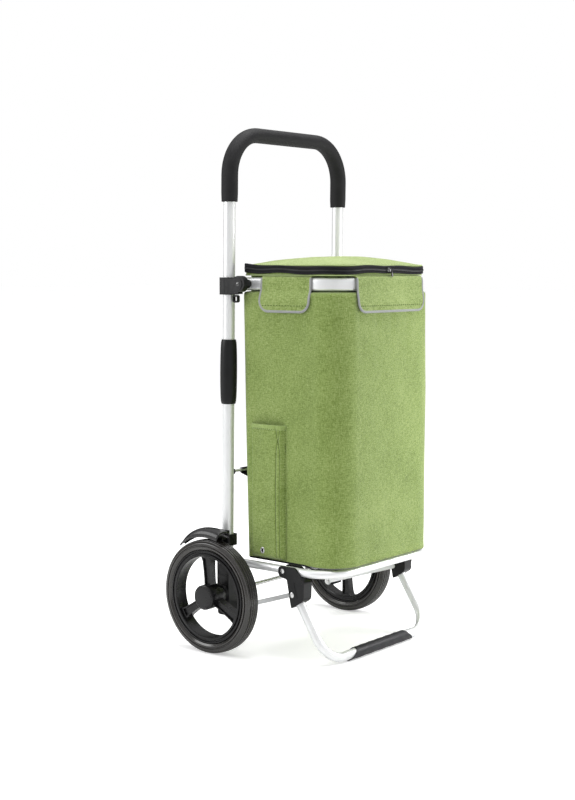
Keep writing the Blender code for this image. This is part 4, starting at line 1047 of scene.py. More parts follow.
# ---- bag ------------------------------------------------------------------------------------------
BAG_LOW, BAG_HIGH = box_of("bag_body")
BAG_HALF_X = BAG_HIGH.x
BAG_FRONT_Y = BAG_LOW.y
RIM_TOP_Z = BAG_HIGH.z
RIM_REAR_Y = joint_point("lid_hinge").y
RIM_HALF_X = 0.1520
RIM_FRONT_Y = -0.2590
RIM_MIDDLE_Y = (RIM_FRONT_Y + RIM_REAR_Y) / 2
RIM_CORNER_R = 0.050
SHOULDER_Z = TOP_LOW.z - 5.0 * MM
NECK_HALF_X = TOP_HIGH.x - BAR_THICK - 2.4 * MM
NECK_FRONT_Y = TOP_LOW.y + BAR_THICK + 2.4 * MM
RIM_LOW_Z = TOP_HIGH.z + 4.4 * MM
BAG_CORNER_R = 0.058
BAG_STEPS = 220


def bag_rear(z):
    """The bag's back leans towards the uprights as it rises."""
    low, high = -0.040, -0.028
    part = min(max((z - BAG_LOW.z) / (SHOULDER_Z - BAG_LOW.z), 0), 1)
    return low + (high - low) * part


def even_ring(half_x, front_y, rear_y, front_r, rear_r, count=BAG_STEPS):
    """Evenly spaced points round a rounded box, from the middle of its back towards -X, with the share
    of the way round at each, and the outward direction."""
    corners = [(0, rear_y), (-half_x, rear_y), (-half_x, front_y), (half_x, front_y), (half_x, rear_y)]
    flat = [Vector(p) for p in rounded_outline(corners, [0, rear_r, front_r, front_r, rear_r], 24)]
    points = even_line(flat + flat[:1], count)[:-1]
    ways = [ahead_at(points, k, closed=True) for k in range(count)]
    return [(p, k / count, Vector((ways[k].y, -ways[k].x))) for k, p in enumerate(points)]


def level_ring(z, *shape):
    return [Vector((p.x, p.y, z)) for p, _, _ in even_ring(*shape)]


def cloth_relief(x, y, z, share):
    """How far the cloth stands out at a place on the bag's wall: soft gathers under the top bar, broad
    panels that belly a little, and slight puckers."""
    height = (z - BAG_LOW.z) / (SHOULDER_Z - BAG_LOW.z)
    round_way = share * 2 * math.pi
    belly = 1.6 * MM * math.sin(math.pi * min(max(height, 0), 1)) ** 0.8
    gather = math.exp(-max(SHOULDER_Z - z, 0) / 0.055)
    ripples = math.sin(round_way * 23 + 1.3) + 0.6 * math.sin(round_way * 41 + 0.4)
    foot = math.exp(-max(z - BAG_LOW.z, 0) / 0.035)
    folds = 0.9 * MM * gather * ripples + 0.5 * MM * foot * math.sin(round_way * 17 + 2.1)
    broad = 1.5 * MM * noise.noise(Vector((x * 11, y * 11, z * 6)))
    fine = 0.45 * MM * noise.noise(Vector((x * 38 + 4, y * 38, z * 22)))
    slant = noise.noise(Vector((x * 9 + z * 7, y * 9 - z * 7, z * 3 + 8)))
    return belly + folds + broad + fine + 1.0 * MM * slant * ramp(height, 0.55, 1.0)


def wall_ring(z, inset, relief, corner=BAG_CORNER_R):
    """One level of the bag's wall. The relief fades towards the bag's back."""
    ring = even_ring(BAG_HALF_X - inset, BAG_FRONT_Y + inset, bag_rear(z) - min(inset, 12 * MM) * 0.2,
                     corner, 14 * MM)
    points = []
    for p, share, out in ring:
        push = relief * min(cloth_relief(p.x, p.y, z, share), 2.6 * MM) - 1.6 * MM * relief
        rear_hold = 1 - 0.75 * ramp(p.y, -0.075, -0.045)
        points.append(Vector((p.x, p.y, z)) + Vector((out.x, out.y, 0)) * push * rear_hold)
    return points


def bag_floor_rings():
    """Rings of the bag's underside, from near its middle outwards."""
    base = BAG_LOW.z
    rear = bag_rear(base)
    middle_y = (BAG_FRONT_Y + rear) / 2
    flat = level_ring(base + 0.4 * MM, BAG_HALF_X - 10 * MM, BAG_FRONT_Y + 12 * MM, rear - 4 * MM,
                      BAG_CORNER_R - 10 * MM, 10 * MM)
    rings = [[Vector((p.x * shrink, middle_y + (p.y - middle_y) * shrink, p.z)) for p in flat]
             for shrink in (0.02, 0.25, 0.5, 0.75, 0.93)]
    edge = wall_ring(base + 0.3 * MM, 9.0 * MM, 0.0)
    return rings + [[Vector((p.x, p.y, base + 0.2 * MM)) for p in edge]]


def build_bag():
    """The bag's outside from its floor up over the shoulder, the neck inside the bar and the rim. The
    foot's rings lie at one height and its last two coincide."""
    rings = bag_floor_rings() + [wall_ring(BAG_LOW.z, inset * MM, 0.4) for inset in (3.4, 1.5, 0.4, 0.0, 0.0)]
    z = BAG_LOW.z + 13 * MM
    while z < SHOULDER_Z - 14 * MM:
        rings.append(wall_ring(z, 0.0, 1.0))
        z += 5.0 * MM
    for rise, inset in ((-6.0, 0.0), (-3.0, 0.2), (-0.8, 0.8), (1.0, 2.0), (2.2, 4.2), (2.9, 8.5),
                        (3.3, 17.0)):
        rings.append(wall_ring(SHOULDER_Z + rise * MM, inset * MM, 0.8, BAG_CORNER_R - inset * 0.5 * MM))
    for z, grow in ((SHOULDER_Z + 3.9 * MM, 0.5), (SHOULDER_Z + 7 * MM, 0.0), (TOP_Z, 0.0),
                    (RIM_LOW_Z - 2.0 * MM, 0.0), (RIM_LOW_Z - 0.6 * MM, 1.5)):
        rings.append(level_ring(z, NECK_HALF_X + grow * MM, NECK_FRONT_Y - grow * MM, RIM_REAR_Y - 2 * MM,
                                BAG_CORNER_R - 12 * MM, 10 * MM))
    for z, inset in ((RIM_LOW_Z, 2.0), (RIM_LOW_Z + 0.8 * MM, 0.4), (RIM_LOW_Z + 3 * MM, 0.0),
                     (RIM_TOP_Z - 0.3 * MM, 0.2)):
        rings.append(level_ring(z, RIM_HALF_X - inset * MM, RIM_FRONT_Y + inset * MM, RIM_REAR_Y - inset * MM,
                                RIM_CORNER_R, 12 * MM))
    bm = capped(rings, lambda z: z < BAG_LOW.z + 5 * MM)
    obj = make_piece("fabric_bag", bm, FABRIC, "bag_body", smooth=180)
    obj.data.materials.append(LINER)
    add_thickness(obj, 1.1 * MM, None, inner_material=1, even=False)
    fold_with_frame(obj)


def build_base_cord():
    """Black corded seams under the bag's lower edge, at its two sides, that sink a little towards the
    front."""
    first, last = bag_rear(BAG_LOW.z) - 12 * MM, BAG_FRONT_Y + BAG_CORNER_R
    line = []
    for y in (first + (last - first) * k / 40 for k in range(41)):
        line.append((y, BAG_LOW.z + 0.6 * MM - 7.5 * MM * ramp(-y, 0.186, 0.222) - 0.4 * MM))
    cords = [sweep([Vector((sign * (BAG_HALF_X + 0.4 * MM), y, z)) for y, z in line], (1, 0, 0),
                   circle(1.7 * MM, 10)) for sign in SIDES.values()]
    sewn_piece("bag_base_cord", join(*cords), WEBBING, smooth=180)


def fold_with_frame(obj):
    """Bakes the modifiers of the bag, or of a piece sewn to it, into its own mesh."""
    squash_piece(obj)


def fold_with_ring(obj):
    """Bakes a flap piece's modifiers into its own mesh."""
    squash_piece(obj)


def squash_piece(obj):
    mesh = finished_mesh(obj)
    obj.modifiers.clear()
    obj.data = mesh
    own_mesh(obj)


def sewn_piece(*args, **more):
    fold_with_frame(make_piece(*args, **more))


# ---- floor board, pocket and strap ----------------------------------------------------------------
def build_floor_board():
    low, high = box_of("bag_floor_board")
    edge = 0.6 * MM
    rings = [level_ring(z, high.x - inset, low.y + inset, high.y - inset, 0.044, 0.008, 120)
             for z, inset in ((low.z, edge), (low.z + edge, 0.0), (high.z - edge, 0.0), (high.z, edge))]
    sewn_piece("floor_board", loft(rings), BOARD, "bag_floor_board")


POCKET_LOW, POCKET_HIGH = box_of("umbrella_pocket")
POCKET_DEEP = -BAG_HALF_X - POCKET_LOW.x
POCKET_YS = [POCKET_LOW.y + (POCKET_HIGH.y - POCKET_LOW.y) * k / 84 for k in range(85)]
PLEATS = (0.009, 0.018)
OUT_LEFT = (-1, 0, 0)


def pocket_levels(start, spacing):
    """Heights on the pocket's face, one for each spacing that its whole height holds."""
    return [POCKET_LOW.z + start + k * spacing for k in range(int((POCKET_HIGH.z - POCKET_LOW.z) / spacing))]


def pleat_bend(pleat, z):
    """How far a pleat wanders sideways. The two draw together below the mouth."""
    wander = 1.0 * MM * math.sin(z * 25) * (0.4 + pleat * 20)
    neck = math.exp(-((z - POCKET_HIGH.z + 30 * MM) / (14 * MM)) ** 2)
    return wander + neck * (sum(PLEATS) / len(PLEATS) - pleat) * 0.75


def pocket_face(y, z):
    """The pocket's outer surface. It opens a little at its mouth and has two sewn pleats near its front."""
    from_front = y - POCKET_LOW.y
    depth = POCKET_DEEP * ramp(from_front, 0.0, 8 * MM) * ramp(POCKET_HIGH.y - y, 0.0, 9 * MM)
    depth *= 0.15 + 0.85 * ramp(z - POCKET_LOW.z, 0.0, 7 * MM)
    mouth = ramp(z, POCKET_HIGH.z - 0.10, POCKET_HIGH.z)
    depth += 2.2 * MM * mouth * math.sin(math.pi * min(max(from_front / 0.084, 0), 1)) ** 2
    for pleat in PLEATS:
        depth -= 1.7 * MM * math.exp(-((from_front - pleat - pleat_bend(pleat, z)) / (1.3 * MM)) ** 2)
    depth += 0.9 * MM * noise.noise(Vector((y * 28, z * 13, 2.0)))
    depth += 0.35 * MM * noise.noise(Vector((y * 90, z * 45, 7.0)))
    return -BAG_HALF_X - 0.8 * MM - max(depth, 0.2 * MM)


def on_pocket(y, z, lift=0.0):
    return Vector((pocket_face(y, z) - lift * MM, y, z))


def build_pocket():
    rows = []
    z = POCKET_LOW.z
    while z < POCKET_HIGH.z + 1e-6:
        rows.append([on_pocket(y, z) for y in POCKET_YS])
        z += 4 * MM
    pocket = make_piece("side_pocket", sheet(rows), FABRIC, "umbrella_pocket", smooth=180)
    add_thickness(pocket, 1.1 * MM, OUT_LEFT)
    fold_with_frame(pocket)
    strip = []
    for dz, out in ((0.0, 0.1), (0.4, 0.7), (2.0, 0.9), (6.5, 0.9), (8.6, 0.8), (9.6, 0.3), (9.9, -0.6)):
        z = POCKET_HIGH.z - 9.0 * MM + dz * MM
        strip.append([Vector((pocket_face(y, min(z, POCKET_HIGH.z)) - out * MM, y, z)) for y in POCKET_YS])
    hem = make_piece("pocket_hem", sheet(strip), POCKET_HEM, smooth=180)
    add_thickness(hem, 0.8 * MM, OUT_LEFT)
    fold_with_frame(hem)
    seam_z = POCKET_HIGH.z - 8 * MM
    seams = [[Vector((pocket_face(y, seam_z) - 0.95 * MM, y, seam_z + 0.4 * MM)) for y in POCKET_YS]]
    for y in (POCKET_LOW.y + 1.6 * MM, POCKET_HIGH.y - 1.6 * MM):
        seams.append([on_pocket(y, z, 0.2) for z in pocket_levels(4 * MM, 3 * MM)])
    sewn_piece("pocket_stitching", join(*[stitches(line, lambda p: OUT_LEFT) for line in seams]), THREAD)
    # Dark cords along the two pleats: partly their seams, partly painted shade of the creases.
    lines = []
    for pleat in PLEATS:
        line = [on_pocket(POCKET_LOW.y + pleat + pleat_bend(pleat, z), z, 0.1)
                for z in pocket_levels(3 * MM, 4 * MM)]
        lines.append(sweep(line, (1, 0, 0), circle(0.55 * MM, 8)))
    sewn_piece("pocket_pleat_seams", join(*lines), THREAD, smooth=180)
    build_eyelet()


def build_eyelet():
    """An oval pressed eyelet, about 10 by 14 mm, with a black disc in its hole that paints the shade inside it."""
    middle = box_centre("pocket_eyelet")
    face = pocket_face(middle.y, middle.z)

    def ovals(profile, lift, steps):
        return [[Vector((face - (height + lift) * MM, middle.y + y * 0.86, middle.z + z * 1.16))
                 for y, z in circle(radius * MM, steps)] for radius, height in profile]

    profile = ((2.6, -0.6), (2.7, 0.5), (3.3, 1.2), (4.3, 1.4), (5.3, 1.0), (5.8, 0.2), (5.9, -0.2))
    sewn_piece("drain_eyelet", loft(ovals(profile, 0.3, 40), caps=False), STEEL, "pocket_eyelet", smooth=60)
    # A black disc over the pocket's cloth is painted shade for the hole's dark inside; no hole is cut.
    sewn_piece("drain_hole", loft(ovals(((2.9, 0.1), (2.8, 0.5)), 0.0, 32)), WEBBING)


def band(path, normal, wide, thick):
    """A flat band with softly rounded edges swept along a path. Its width runs along normal."""
    return sweep(path, normal, rounded_box(wide / 2, thick / 2, thick * 0.48, 3))


def smooth_line(points, rounds):
    """Cuts the corners of an open line."""
    for _ in range(rounds):
        out = [points[0]]
        for a, b in zip(points, points[1:]):
            out += [a.lerp(b, 0.25), a.lerp(b, 0.75)]
        points = out + [points[-1]]
    return points


def build_back_strap():
    """Webbing sewn to the bag's back that loops round the cross rod."""
    low, high = box_of("bag_back_strap")
    rod_at = box_centre("cross_rod")
    thick = 1.5 * MM
    radius = box_size("cross_rod").z / 2 + 0.5 * MM + thick / 2
    first, last = low.z + 2 * MM, high.z - 2 * MM
    rear = bag_rear(first)
    line = [(rear + 1.6 * MM, first), (rear + 3.0 * MM, first + 3 * MM),
            (rear + 4.6 * MM, rod_at.z - 14 * MM), (rod_at.y + radius - 1.5 * MM, rod_at.z - 6 * MM)]
    for turn in (math.radians(-10 + 105 * k / 14) for k in range(15)):
        line.append((rod_at.y + radius * math.cos(turn), rod_at.z + radius * math.sin(turn)))
    line.append((bag_rear(last) + 1.9 * MM, last))
    path = smooth_line([Vector(((low.x + high.x) / 2, y, z)) for y, z in line], 3)
    sewn_piece("strap_loop", band(path, (1, 0, 0), high.x - low.x, thick), WEBBING, "bag_back_strap",
               smooth=60)


# ---- zip ------------------------------------------------------------------------------------------
TAPE_THICK = 3.0 * MM
TAPE_GAP = 0.4 * MM
ZIP_WAVE = 1.2 * MM
ZIP_HOOK_R = 9 * MM
ZIP_SEAM_Y = -0.143


def rim_path(z, out):
    """A line round the left, front and right of the bag's rim, as far out as given, that hooks round the
    rear corners."""
    reach = RIM_HALF_X + out
    rear = box_of("zip_tape_lower")[1].y + 9 * MM
    path = u_path(reach, RIM_FRONT_Y - out, rear, z, RIM_CORNER_R + out, 20, 4 * MM)
    hook = [(reach - ZIP_HOOK_R * (1 - math.cos(turn)), rear + ZIP_HOOK_R * math.sin(turn))
            for turn in (math.radians(10 * k) for k in range(1, 9))]
    return [Vector((-x, y, z)) for x, y in reversed(hook)] + path + [Vector((x, y, z)) for x, y in hook]


def wavy(path, amount):
    """The same path with the slow waves that sewn tape has. Its first end curls up a little."""
    out, run = [], 0.0
    for i, p in enumerate(path):
        run += (p - path[i - 1]).length if i else 0.0
        wave = math.sin(run * 23 + 0.2) + 0.6 * math.sin(run * 61 + 2.0)
        curl = 3.0 * MM * math.exp(-(run / 0.030) ** 2)
        push = math.sin(run * 41 + 1.0) + 0.5 * math.sin(run * 95)
        away = Vector((p.x, p.y - RIM_MIDDLE_Y, 0)).normalized()
        out.append(p + Vector((0, 0, wave * amount + curl)) + away * (push * amount * 0.35))
    return out


def zip_line(z, out):
    return wavy(rim_path(z, TAPE_GAP + out), ZIP_WAVE)


def ribbon(path, high, thick, swell):
    """A puffy fabric strip that is swell times as high at the path's start as along the rest."""
    rings, run = [], 0.0
    length = length_of(path)
    for i, point in enumerate(path):
        run += (point - path[i - 1]).length if i else 0.0
        tall = high * (1 + (swell - 1) * math.exp(-run / 0.05) + 0.10 * math.sin(run * 50))
        tall *= 0.35 + 0.65 * ramp(min(run, length - run), -2 * MM, 9 * MM)
        out = ahead_at(path, i).cross(Vector((0, 0, 1))).normalized()
        rings.append([point + Vector((0, 0, a)) + out * b
                      for a, b in rounded_box(tall / 2, thick / 2, thick * 0.49, 5)])
    return loft(rings)


def zip_teeth(path, way_up, pitch):
    """A row of coil teeth along a path, each a little block with a rounded nose."""
    total = length_of(path)
    count = int(total / pitch)
    stacks = []
    for at, ahead in places(path, [total * (k + 0.5) / count for k in range(count)]):
        out = ahead.cross(Vector((0, 0, 1)))
        rings = []
        for height, half, deep in ((-0.2, 0.55, 0.55), (0.7, 0.55, 0.75), (1.3, 0.35, 0.45)):
            base = at + Vector((0, 0, way_up * height * MM))
            rings.append([base + ahead * (a * half * MM) + out * (b * deep * MM)
                          for a, b in ((-1, -1), (1, -1), (1, 1), (-1, 1))])
        stacks.append(rings)
    return solids(stacks)


def build_zip():
    """Two tapes, each with its row of coil teeth and a seam."""
    meeting = (RIM_TOP_Z + box_of("zip_tape_upper")[0].z) / 2
    for level, body, way in (("lower", "main_frame", 1), ("upper", "bag_lid", -1)):
        node = "zip_tape_" + level
        high, middle = box_size(node).z, box_centre(node).z
        tape = ribbon(zip_line(middle, TAPE_THICK / 2), high + 0.4 * MM, TAPE_THICK, 1.45)
        sewn_piece("zip_ribbon_" + level, tape, WEBBING, node, body, smooth=60)
        teeth = zip_teeth(zip_line(meeting - way * 1.2 * MM, TAPE_THICK + 0.3 * MM), way, 1.7 * MM)
        sewn_piece("zip_coil_" + level, teeth, ZIP_COIL, body=body)
        seam = zip_line(middle - way * (high / 2 - 1.3 * MM), TAPE_THICK)
        rows = stitches(seam, lambda p: (p.x, p.y - ZIP_SEAM_Y, 0), 2.6 * MM, 1.4 * MM, 0.3 * MM)
        sewn_piece("zip_seam_" + level, rows, ZIP_COIL, body=body)


def build_zip_slider():
    """Slider body with a bridge, and a pull tab that hangs down from it."""
    z = box_centre("zip_slider").z
    front = RIM_FRONT_Y - TAPE_GAP - TAPE_THICK - 1.3 * MM
    shape = rounded_outline(in_mm((-6.6, -3.4), (6.6, -4.2), (6.6, 4.2), (-6.6, 3.4)),
                            [2.2 * MM, 2.6 * MM, 2.6 * MM, 2.2 * MM], 5)
    plate = loft([[Vector((x * f, front + y * MM, z + h * f)) for x, h in shape]
                  for y, f in ((0.4, 1.0), (-1.0, 1.0), (-1.6, 0.86))])
    arch = ((-4.6, 0.8), (-4.4, 2.4), (-3.0, 3.5), (0, 3.9), (3.0, 3.5), (4.4, 2.4), (4.6, 0.8))
    path = smooth_line([Vector((x * MM, front - d * MM, z)) for x, d in arch], 2)
    bridge = band(path, (0, 0, 1), 2.6 * MM, 1.0 * MM)
    sewn_piece("slider_body", join(plate, bridge), DARK_STEEL, "zip_slider", "slider", smooth=50)
    tab = rounded_outline(in_mm((-2.2, 0), (2.2, 0), (3.0, -15), (-3.0, -15)),
                          [2.0 * MM, 2.0 * MM, 2.8 * MM, 2.8 * MM], 6)
    lean = 0.10
    rows = [[Vector((x * size + 3.2 * MM, front - 3.2 * MM - deep * MM + h * lean,
                     z + 1.0 * MM + (h + 10 * MM) * size - 10 * MM)) for x, h in tab]
            for deep, size in ((0.0, 0.90), (0.4, 1.0), (1.2, 1.0), (1.6, 0.90))]
    sewn_piece("slider_pull", loft(rows), GLOSS, body="slider", smooth=50)


# ---- lid ------------------------------------------------------------------------------------------
LID_LOW, LID_HIGH = box_of("lid_panel")
LID_SKIRT_Z = box_of("zip_tape_upper")[1].z + 1.1 * MM


def lid_point(p, share, shrink):
    """A place on the domed lid, from its edge at shrink 1 to its middle at 0."""
    x = p.x * shrink
    y = RIM_MIDDLE_Y + (p.y - RIM_MIDDLE_Y) * shrink
    fade = ramp(1 - shrink, 0.0, 0.25)
    rise = (LID_HIGH.z - LID_SKIRT_Z) * (1 - shrink ** 2.2)
    rise += 1.3 * MM * noise.noise(Vector((x * 10, y * 10, 3.0))) * fade
    rise += 0.5 * MM * noise.noise(Vector((x * 34, y * 34, 9.0))) * fade
    pucker = math.sin(share * 2 * math.pi * 37) * math.exp(-(1 - shrink) / 0.06)
    return Vector((x, y, LID_SKIRT_Z + rise + 0.25 * MM * pucker))


def build_lid():
    """The domed cloth, its corded edge, the stitches inside it and the cord round the bag's rim."""
    ring = even_ring(RIM_HALF_X, RIM_FRONT_Y, RIM_REAR_Y, RIM_CORNER_R, 0.014, 200)
    rings = [[Vector((p.x, p.y, z)) for p, _, _ in ring] for z in (LID_LOW.z, (LID_LOW.z + LID_SKIRT_Z) / 2)]
    for shrink in [1.0, 0.995, 0.985, 0.97, 0.95] + [0.92 - 0.04 * k for k in range(23)]:
        rings.append([lid_point(p, share, shrink) for p, share, _ in ring])
    bm = capped(rings, lambda z: z > LID_SKIRT_Z)
    lid = make_piece("lid_cloth", bm, FABRIC_FLAT, "lid_panel", "bag_lid", smooth=180)
    lid.data.materials.append(LINER)
    add_thickness(lid, 1.3 * MM, (0, 0, 1), inner_material=1)
    fold_with_frame(lid)
    cord = [Vector((p.x + out.x * 0.5 * MM, p.y + out.y * 0.5 * MM, LID_SKIRT_Z + 0.2 * MM))
            for p, _, out in ring]
    sewn_piece("lid_binding", sweep(cord, (0, 0, 1), circle(1.5 * MM, 10), closed=True), BINDING, None,
               "bag_lid", smooth=180)
    line = [lid_point(p, 0.0, 0.955) + Vector((0, 0, 0.1 * MM)) for p, _, _ in ring]
    sewn_piece("lid_stitching", stitches(line, lambda p: (0, 0, 1)), THREAD, body="bag_lid")
    collar = rim_path(RIM_LOW_Z + 0.2 * MM, 0.4 * MM)
    sewn_piece("rim_binding", sweep(collar, (0, 0, 1), circle(1.3 * MM, 10)), BINDING, smooth=180)


# ---- flaps ----------------------------------------------------------------------------------------
FLAP_THICK = 1.7 * MM
FLAP_LOW_Z = box_of("flap_left")[0].z + 2.4 * MM
FLAP_CORNER_R = 0.020


def flap_profile(reach_in, reach_out, drop_out):
    """The flap's middle line in section, from inside the bar over its top and down outside, as distance
    outwards and height."""
    top = TOP_HIGH.z + 1.5 * MM
    bend = 4.5 * MM
    points = [(reach_in, top - 3 * MM), (reach_in, top - 1 * MM), (reach_in + 2 * MM, top),
              (reach_out - bend, top), (reach_out - 0.6 * MM, top - 1.2 * MM),
              (reach_out + 1.3 * MM, top - bend), (reach_out + 1.6 * MM, SHOULDER_Z + 12 * MM),
              (reach_out + 1.8 * MM, SHOULDER_Z + 6 * MM), (drop_out - 1.0 * MM, SHOULDER_Z - 6 * MM),
              (drop_out, SHOULDER_Z - 13 * MM), (drop_out, FLAP_LOW_Z)]
    return even_line(smooth_line([Vector((a, b, 0)) for a, b in points], 2), 46)


def flap_cut(along, low, high):
    """How far the lower edge is cut up by the flap's round corners."""
    edge = min(along - low, high - along)
    if edge >= FLAP_CORNER_R:
        return 0.0
    return FLAP_CORNER_R - math.sqrt(max(FLAP_CORNER_R ** 2 - (FLAP_CORNER_R - edge) ** 2, 0.0))


def build_flap(side, body_place, low, high, reach_in, reach_out, drop_out):
    """A cloth flap with rounded lower corners, a piped edge and a row of stitches above its hem."""
    profile = flap_profile(reach_in, reach_out, drop_out)
    stations = [low + (high - low) * (0.5 - 0.5 * math.cos(math.pi * k / 90)) for k in range(91)]
    last = len(profile) - 1

    def point(share, along, lift=0.0):
        index = min(int(share * last), last - 1)
        here, there = profile[index].xy, profile[index + 1].xy
        out, z = [a + (b - a) * (share * last - index) for a, b in zip(here, there)]
        z = max(z, FLAP_LOW_Z + flap_cut(along, low, high))
        hang = ramp(SHOULDER_Z - z, 0.0, 0.04)
        flare = 1.0 * MM * noise.noise(Vector((along * 24, z * 18, reach_in * 50))) + 0.5 * MM
        slack = 0.35 * MM * noise.noise(Vector((along * 70, z * 50, 5)))
        return body_place(out + max(flare + slack, 0) * hang + lift, along, z)

    bm = sheet([[point(k / 120, along) for k in range(121)] for along in stations])
    bmesh.ops.remove_doubles(bm, verts=bm.verts, dist=0.02 * MM)
    way = body_place(1, 0, 0) - body_place(0, 0, 0)
    cloth = make_piece("cloth_flap_" + side, bm, FLAP_FABRIC, "flap_" + side, "top_ring", smooth=180)
    add_thickness(cloth, FLAP_THICK, -way)
    fold_with_ring(cloth)
    cord = sweep_free(flap_edge(low, high, point), 2.5 * MM, way)
    fold_with_ring(make_piece("flap_piping_" + side, cord, PIPING, None, "top_ring", smooth=180))
    hem = [point_at_height(point, along, FLAP_LOW_Z + 11 * MM, FLAP_THICK + 0.05 * MM)
           for along in stations if low + 3 * MM < along < high - 3 * MM]
    threads = stitches(hem, lambda p: way, 4.4 * MM, 2.4 * MM, 0.65 * MM)
    fold_with_ring(make_piece("flap_stitching_" + side, threads, THREAD, None, "top_ring"))


def point_at_height(point, along, z, lift):
    """The place on the hanging part of a flap at a height."""
    low, high = 0.45, 1.0
    for _ in range(16):
        middle = (low + high) / 2
        if point(middle, along).z > z:
            low = middle
        else:
            high = middle
    return point(low, along, lift)


def flap_edge(low, high, point):
    """The line down one side of a flap, along its lower edge and up the other side."""
    lift = FLAP_THICK * 0.5
    corner_z = FLAP_LOW_Z + FLAP_CORNER_R + 1 * MM
    one, two = [[point(k / 60, along, lift) for k in range(14, 61) if point(k / 60, along).z > corner_z]
                for along in (low, high)]
    reach = [FLAP_CORNER_R * (1 - math.cos(math.pi / 24 * k)) for k in range(13)]
    start, end = low + FLAP_CORNER_R, high - FLAP_CORNER_R
    count = int((end - start) / (4 * MM))
    bottom = [low + r for r in reach] + [start + (end - start) * k / count for k in range(1, count)]
    bottom += [high - r for r in reversed(reach)]
    return one + [point(1.0, along, lift) for along in bottom] + two[::-1]


def sweep_free(path, radius, face):
    """A round cord along any path, a little flattened against the cloth."""
    rings = []
    for i, point in enumerate(path):
        ahead = ahead_at(path, i)
        side = ahead.cross(face).normalized()
        rings.append([point + side * a + side.cross(ahead) * b * 0.75 for a, b in circle(radius, 12)])
    return loft(rings)


def build_flaps():
    inner = TOP_HIGH.x - BAR_THICK - 1.8 * MM
    for side, sign in SIDES.items():
        low, high = box_of("flap_" + side)
        build_flap(side, lambda out, along, z, sign=sign: Vector((sign * out, along, z)),
                   low.y, high.y, inner, TOP_HIGH.x, BAG_HALF_X + 1.4 * MM)
    low, high = box_of("flap_front")
    build_flap("front", lambda out, along, z: Vector((along, -out, z)), low.x, high.x,
               -TOP_LOW.y - BAR_THICK - 1.8 * MM, -TOP_LOW.y, -BAG_FRONT_Y + 1.4 * MM)


def main():
    for build in (build_uprights, build_handle, build_joint_sleeves, build_cross_rod, build_top_bar,
                  build_top_brackets, build_lock_loops, build_axle_blocks, build_fenders, build_fender_clamps,
                  build_pins, build_axle, build_base_tube, build_stand_tube, build_stand_brackets,
                  build_foot_sleeve, build_links):
        build()
    build_wheel("left", -1, math.radians(4))
    build_wheel("right", 1, math.radians(184))
    for build in (build_bag, build_base_cord, build_floor_board, build_pocket, build_back_strap, build_zip,
                  build_zip_slider, build_lid, build_flaps):
        build()


# ---- stage ----------------------------------------------------------------------------------------
FLOOR_GLOW = 0.41
FLOOR_HALF = 40.0
WORLD_STRENGTH = 0.86
TO_CAMERA = (-0.774, -0.633, 0)
TO_RIGHT = (0.633, -0.774, 0)
WHITE = (1, 1, 1, 1)


def build_stage():
    mesh = bpy.data.meshes.new("studio_floor")
    corners = [(a * FLOOR_HALF, b * FLOOR_HALF, 0) for a, b in ((-1, -1), (1, -1), (1, 1), (-1, 1))]
    mesh.from_pydata(corners, [], [(0, 1, 2, 3)])
    mat, tree, shader = new_material("pale_floor")
    cloud = noise_of(tree, (0.7, 0.7, 0.7), 3.0)
    seen = put(tree, "ShaderNodeLightPath").outputs["Is Camera Ray"]
    set_inputs(tree, shader, {
        "Base Color": grey_ramp(tree, cloud, 0.3, 0.7, 0.88, 0.90), "Roughness": 0.9,
        "Specular IOR Level": 0.1, "Emission Color": WHITE,
        "Emission Strength": math_node(tree, "MULTIPLY", seen, FLOOR_GLOW)})
    mesh.materials.append(mat)
    new_object("studio_floor", mesh)


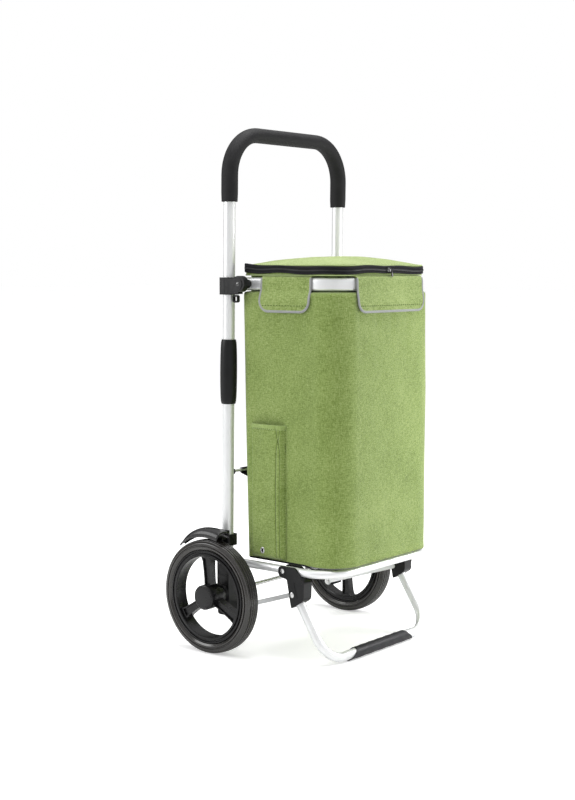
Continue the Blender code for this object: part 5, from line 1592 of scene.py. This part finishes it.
def build_world():
    """White to the camera. To everything else it is a soft studio: dim from behind the camera, bright
    walls at the left and right (brighter still in reflections), a dark wall behind the trolley and a
    bright ceiling."""
    world = bpy.data.worlds.new("studio")
    bpy.context.scene.world = world
    world.use_nodes = True
    tree = world.node_tree
    tree.nodes.clear()
    way = put(tree, "ShaderNodeTexCoord").outputs["Generated"]
    rays = put(tree, "ShaderNodeLightPath").outputs

    def greys(direction, *stops):
        """Greys along a direction, from the opposite side at 0 to that side at 1."""
        share = math_node(tree, "MULTIPLY_ADD", dot_of(tree, way, direction), 0.5, 0.5)
        return ramp_of(tree, share, [(position, (grey,) * 3) for position, grey in stops])

    def mix(factor, first, second, blend="MIX"):
        return put(tree, "ShaderNodeMix", {"data_type": "RGBA", "blend_type": blend},
                   {"Factor": factor, 6: first, 7: second}).outputs[2]

    dim_sides = greys(TO_RIGHT, (0.0, 1.0), (0.22, 0.68), (0.46, 0.22), (0.72, 0.30), (0.95, 0.50))
    shiny_sides = greys(TO_RIGHT, (0.0, 0.88), (0.22, 0.72), (0.44, 0.42), (0.64, 0.95), (0.95, 1.0))
    front = greys(TO_CAMERA, (0.05, 0.06), (0.25, 0.20), (0.42, 1.0))
    walls = mix(1.0, mix(rays["Is Glossy Ray"], dim_sides, shiny_sides), front, "MULTIPLY")
    light = mix(greys((0, 0, 1), (0.62, 0.0), (0.88, 1.0)), walls, (0.95, 0.95, 0.95, 1))
    soft = put(tree, "ShaderNodeBackground", None, {"Color": light, "Strength": WORLD_STRENGTH})
    white = put(tree, "ShaderNodeBackground", None, {"Color": WHITE, "Strength": 1.0})
    both = put(tree, "ShaderNodeMixShader", None,
               {0: rays["Is Camera Ray"], 1: soft.outputs[0], 2: white.outputs[0]})
    put(tree, "ShaderNodeOutputWorld", None, {"Surface": both.outputs[0]})


def add_area_light(name, place, aim, size, watts):
    light = bpy.data.lights.new(name, "AREA")
    light.size = size
    light.energy = watts
    obj = new_object(name, light)
    obj.location = AXLE + Vector(place)
    obj.rotation_euler = (Vector(aim) - Vector(place)).to_track_quat("-Z", "Y").to_euler()


def build_lights():
    add_area_light("key_right", (0.66, -0.76, 0.55), (0.08, -0.2, 0.42), 0.42, 5.6)
    add_area_light("fill_left", (-1.5, 1.3, 1.2), (0, -0.1, 0.5), 1.0, 13)
    add_area_light("top", (0.2, -0.2, 2.8), (0, -0.1, 0.3), 1.6, 60)


def build_camera():
    data = bpy.data.cameras.new("view")
    data.lens = 62.84
    data.sensor_width = 36.0
    cam = new_object("view", data)
    cam.location = AXLE + Vector((-2.1985, -1.8084, 0.7501))
    cam.rotation_euler = (math.pi / 2 - 0.095, 0, -0.886)
    bpy.context.scene.camera = cam


def dress_cad_nodes():
    """CAD pieces that stay visible, such as bushes and clips, get the look of their slot."""
    for subpart in frame["record"]["subparts"]:
        materials = NODES[subpart["node"]].data.materials
        materials.clear()
        materials.append(SLOT_LOOKS[subpart["material_slot"]][0])


dress_cad_nodes()
main()
build_stage()
build_world()
build_lights()
build_camera()
bpy.context.scene.view_settings.view_transform = "Standard"
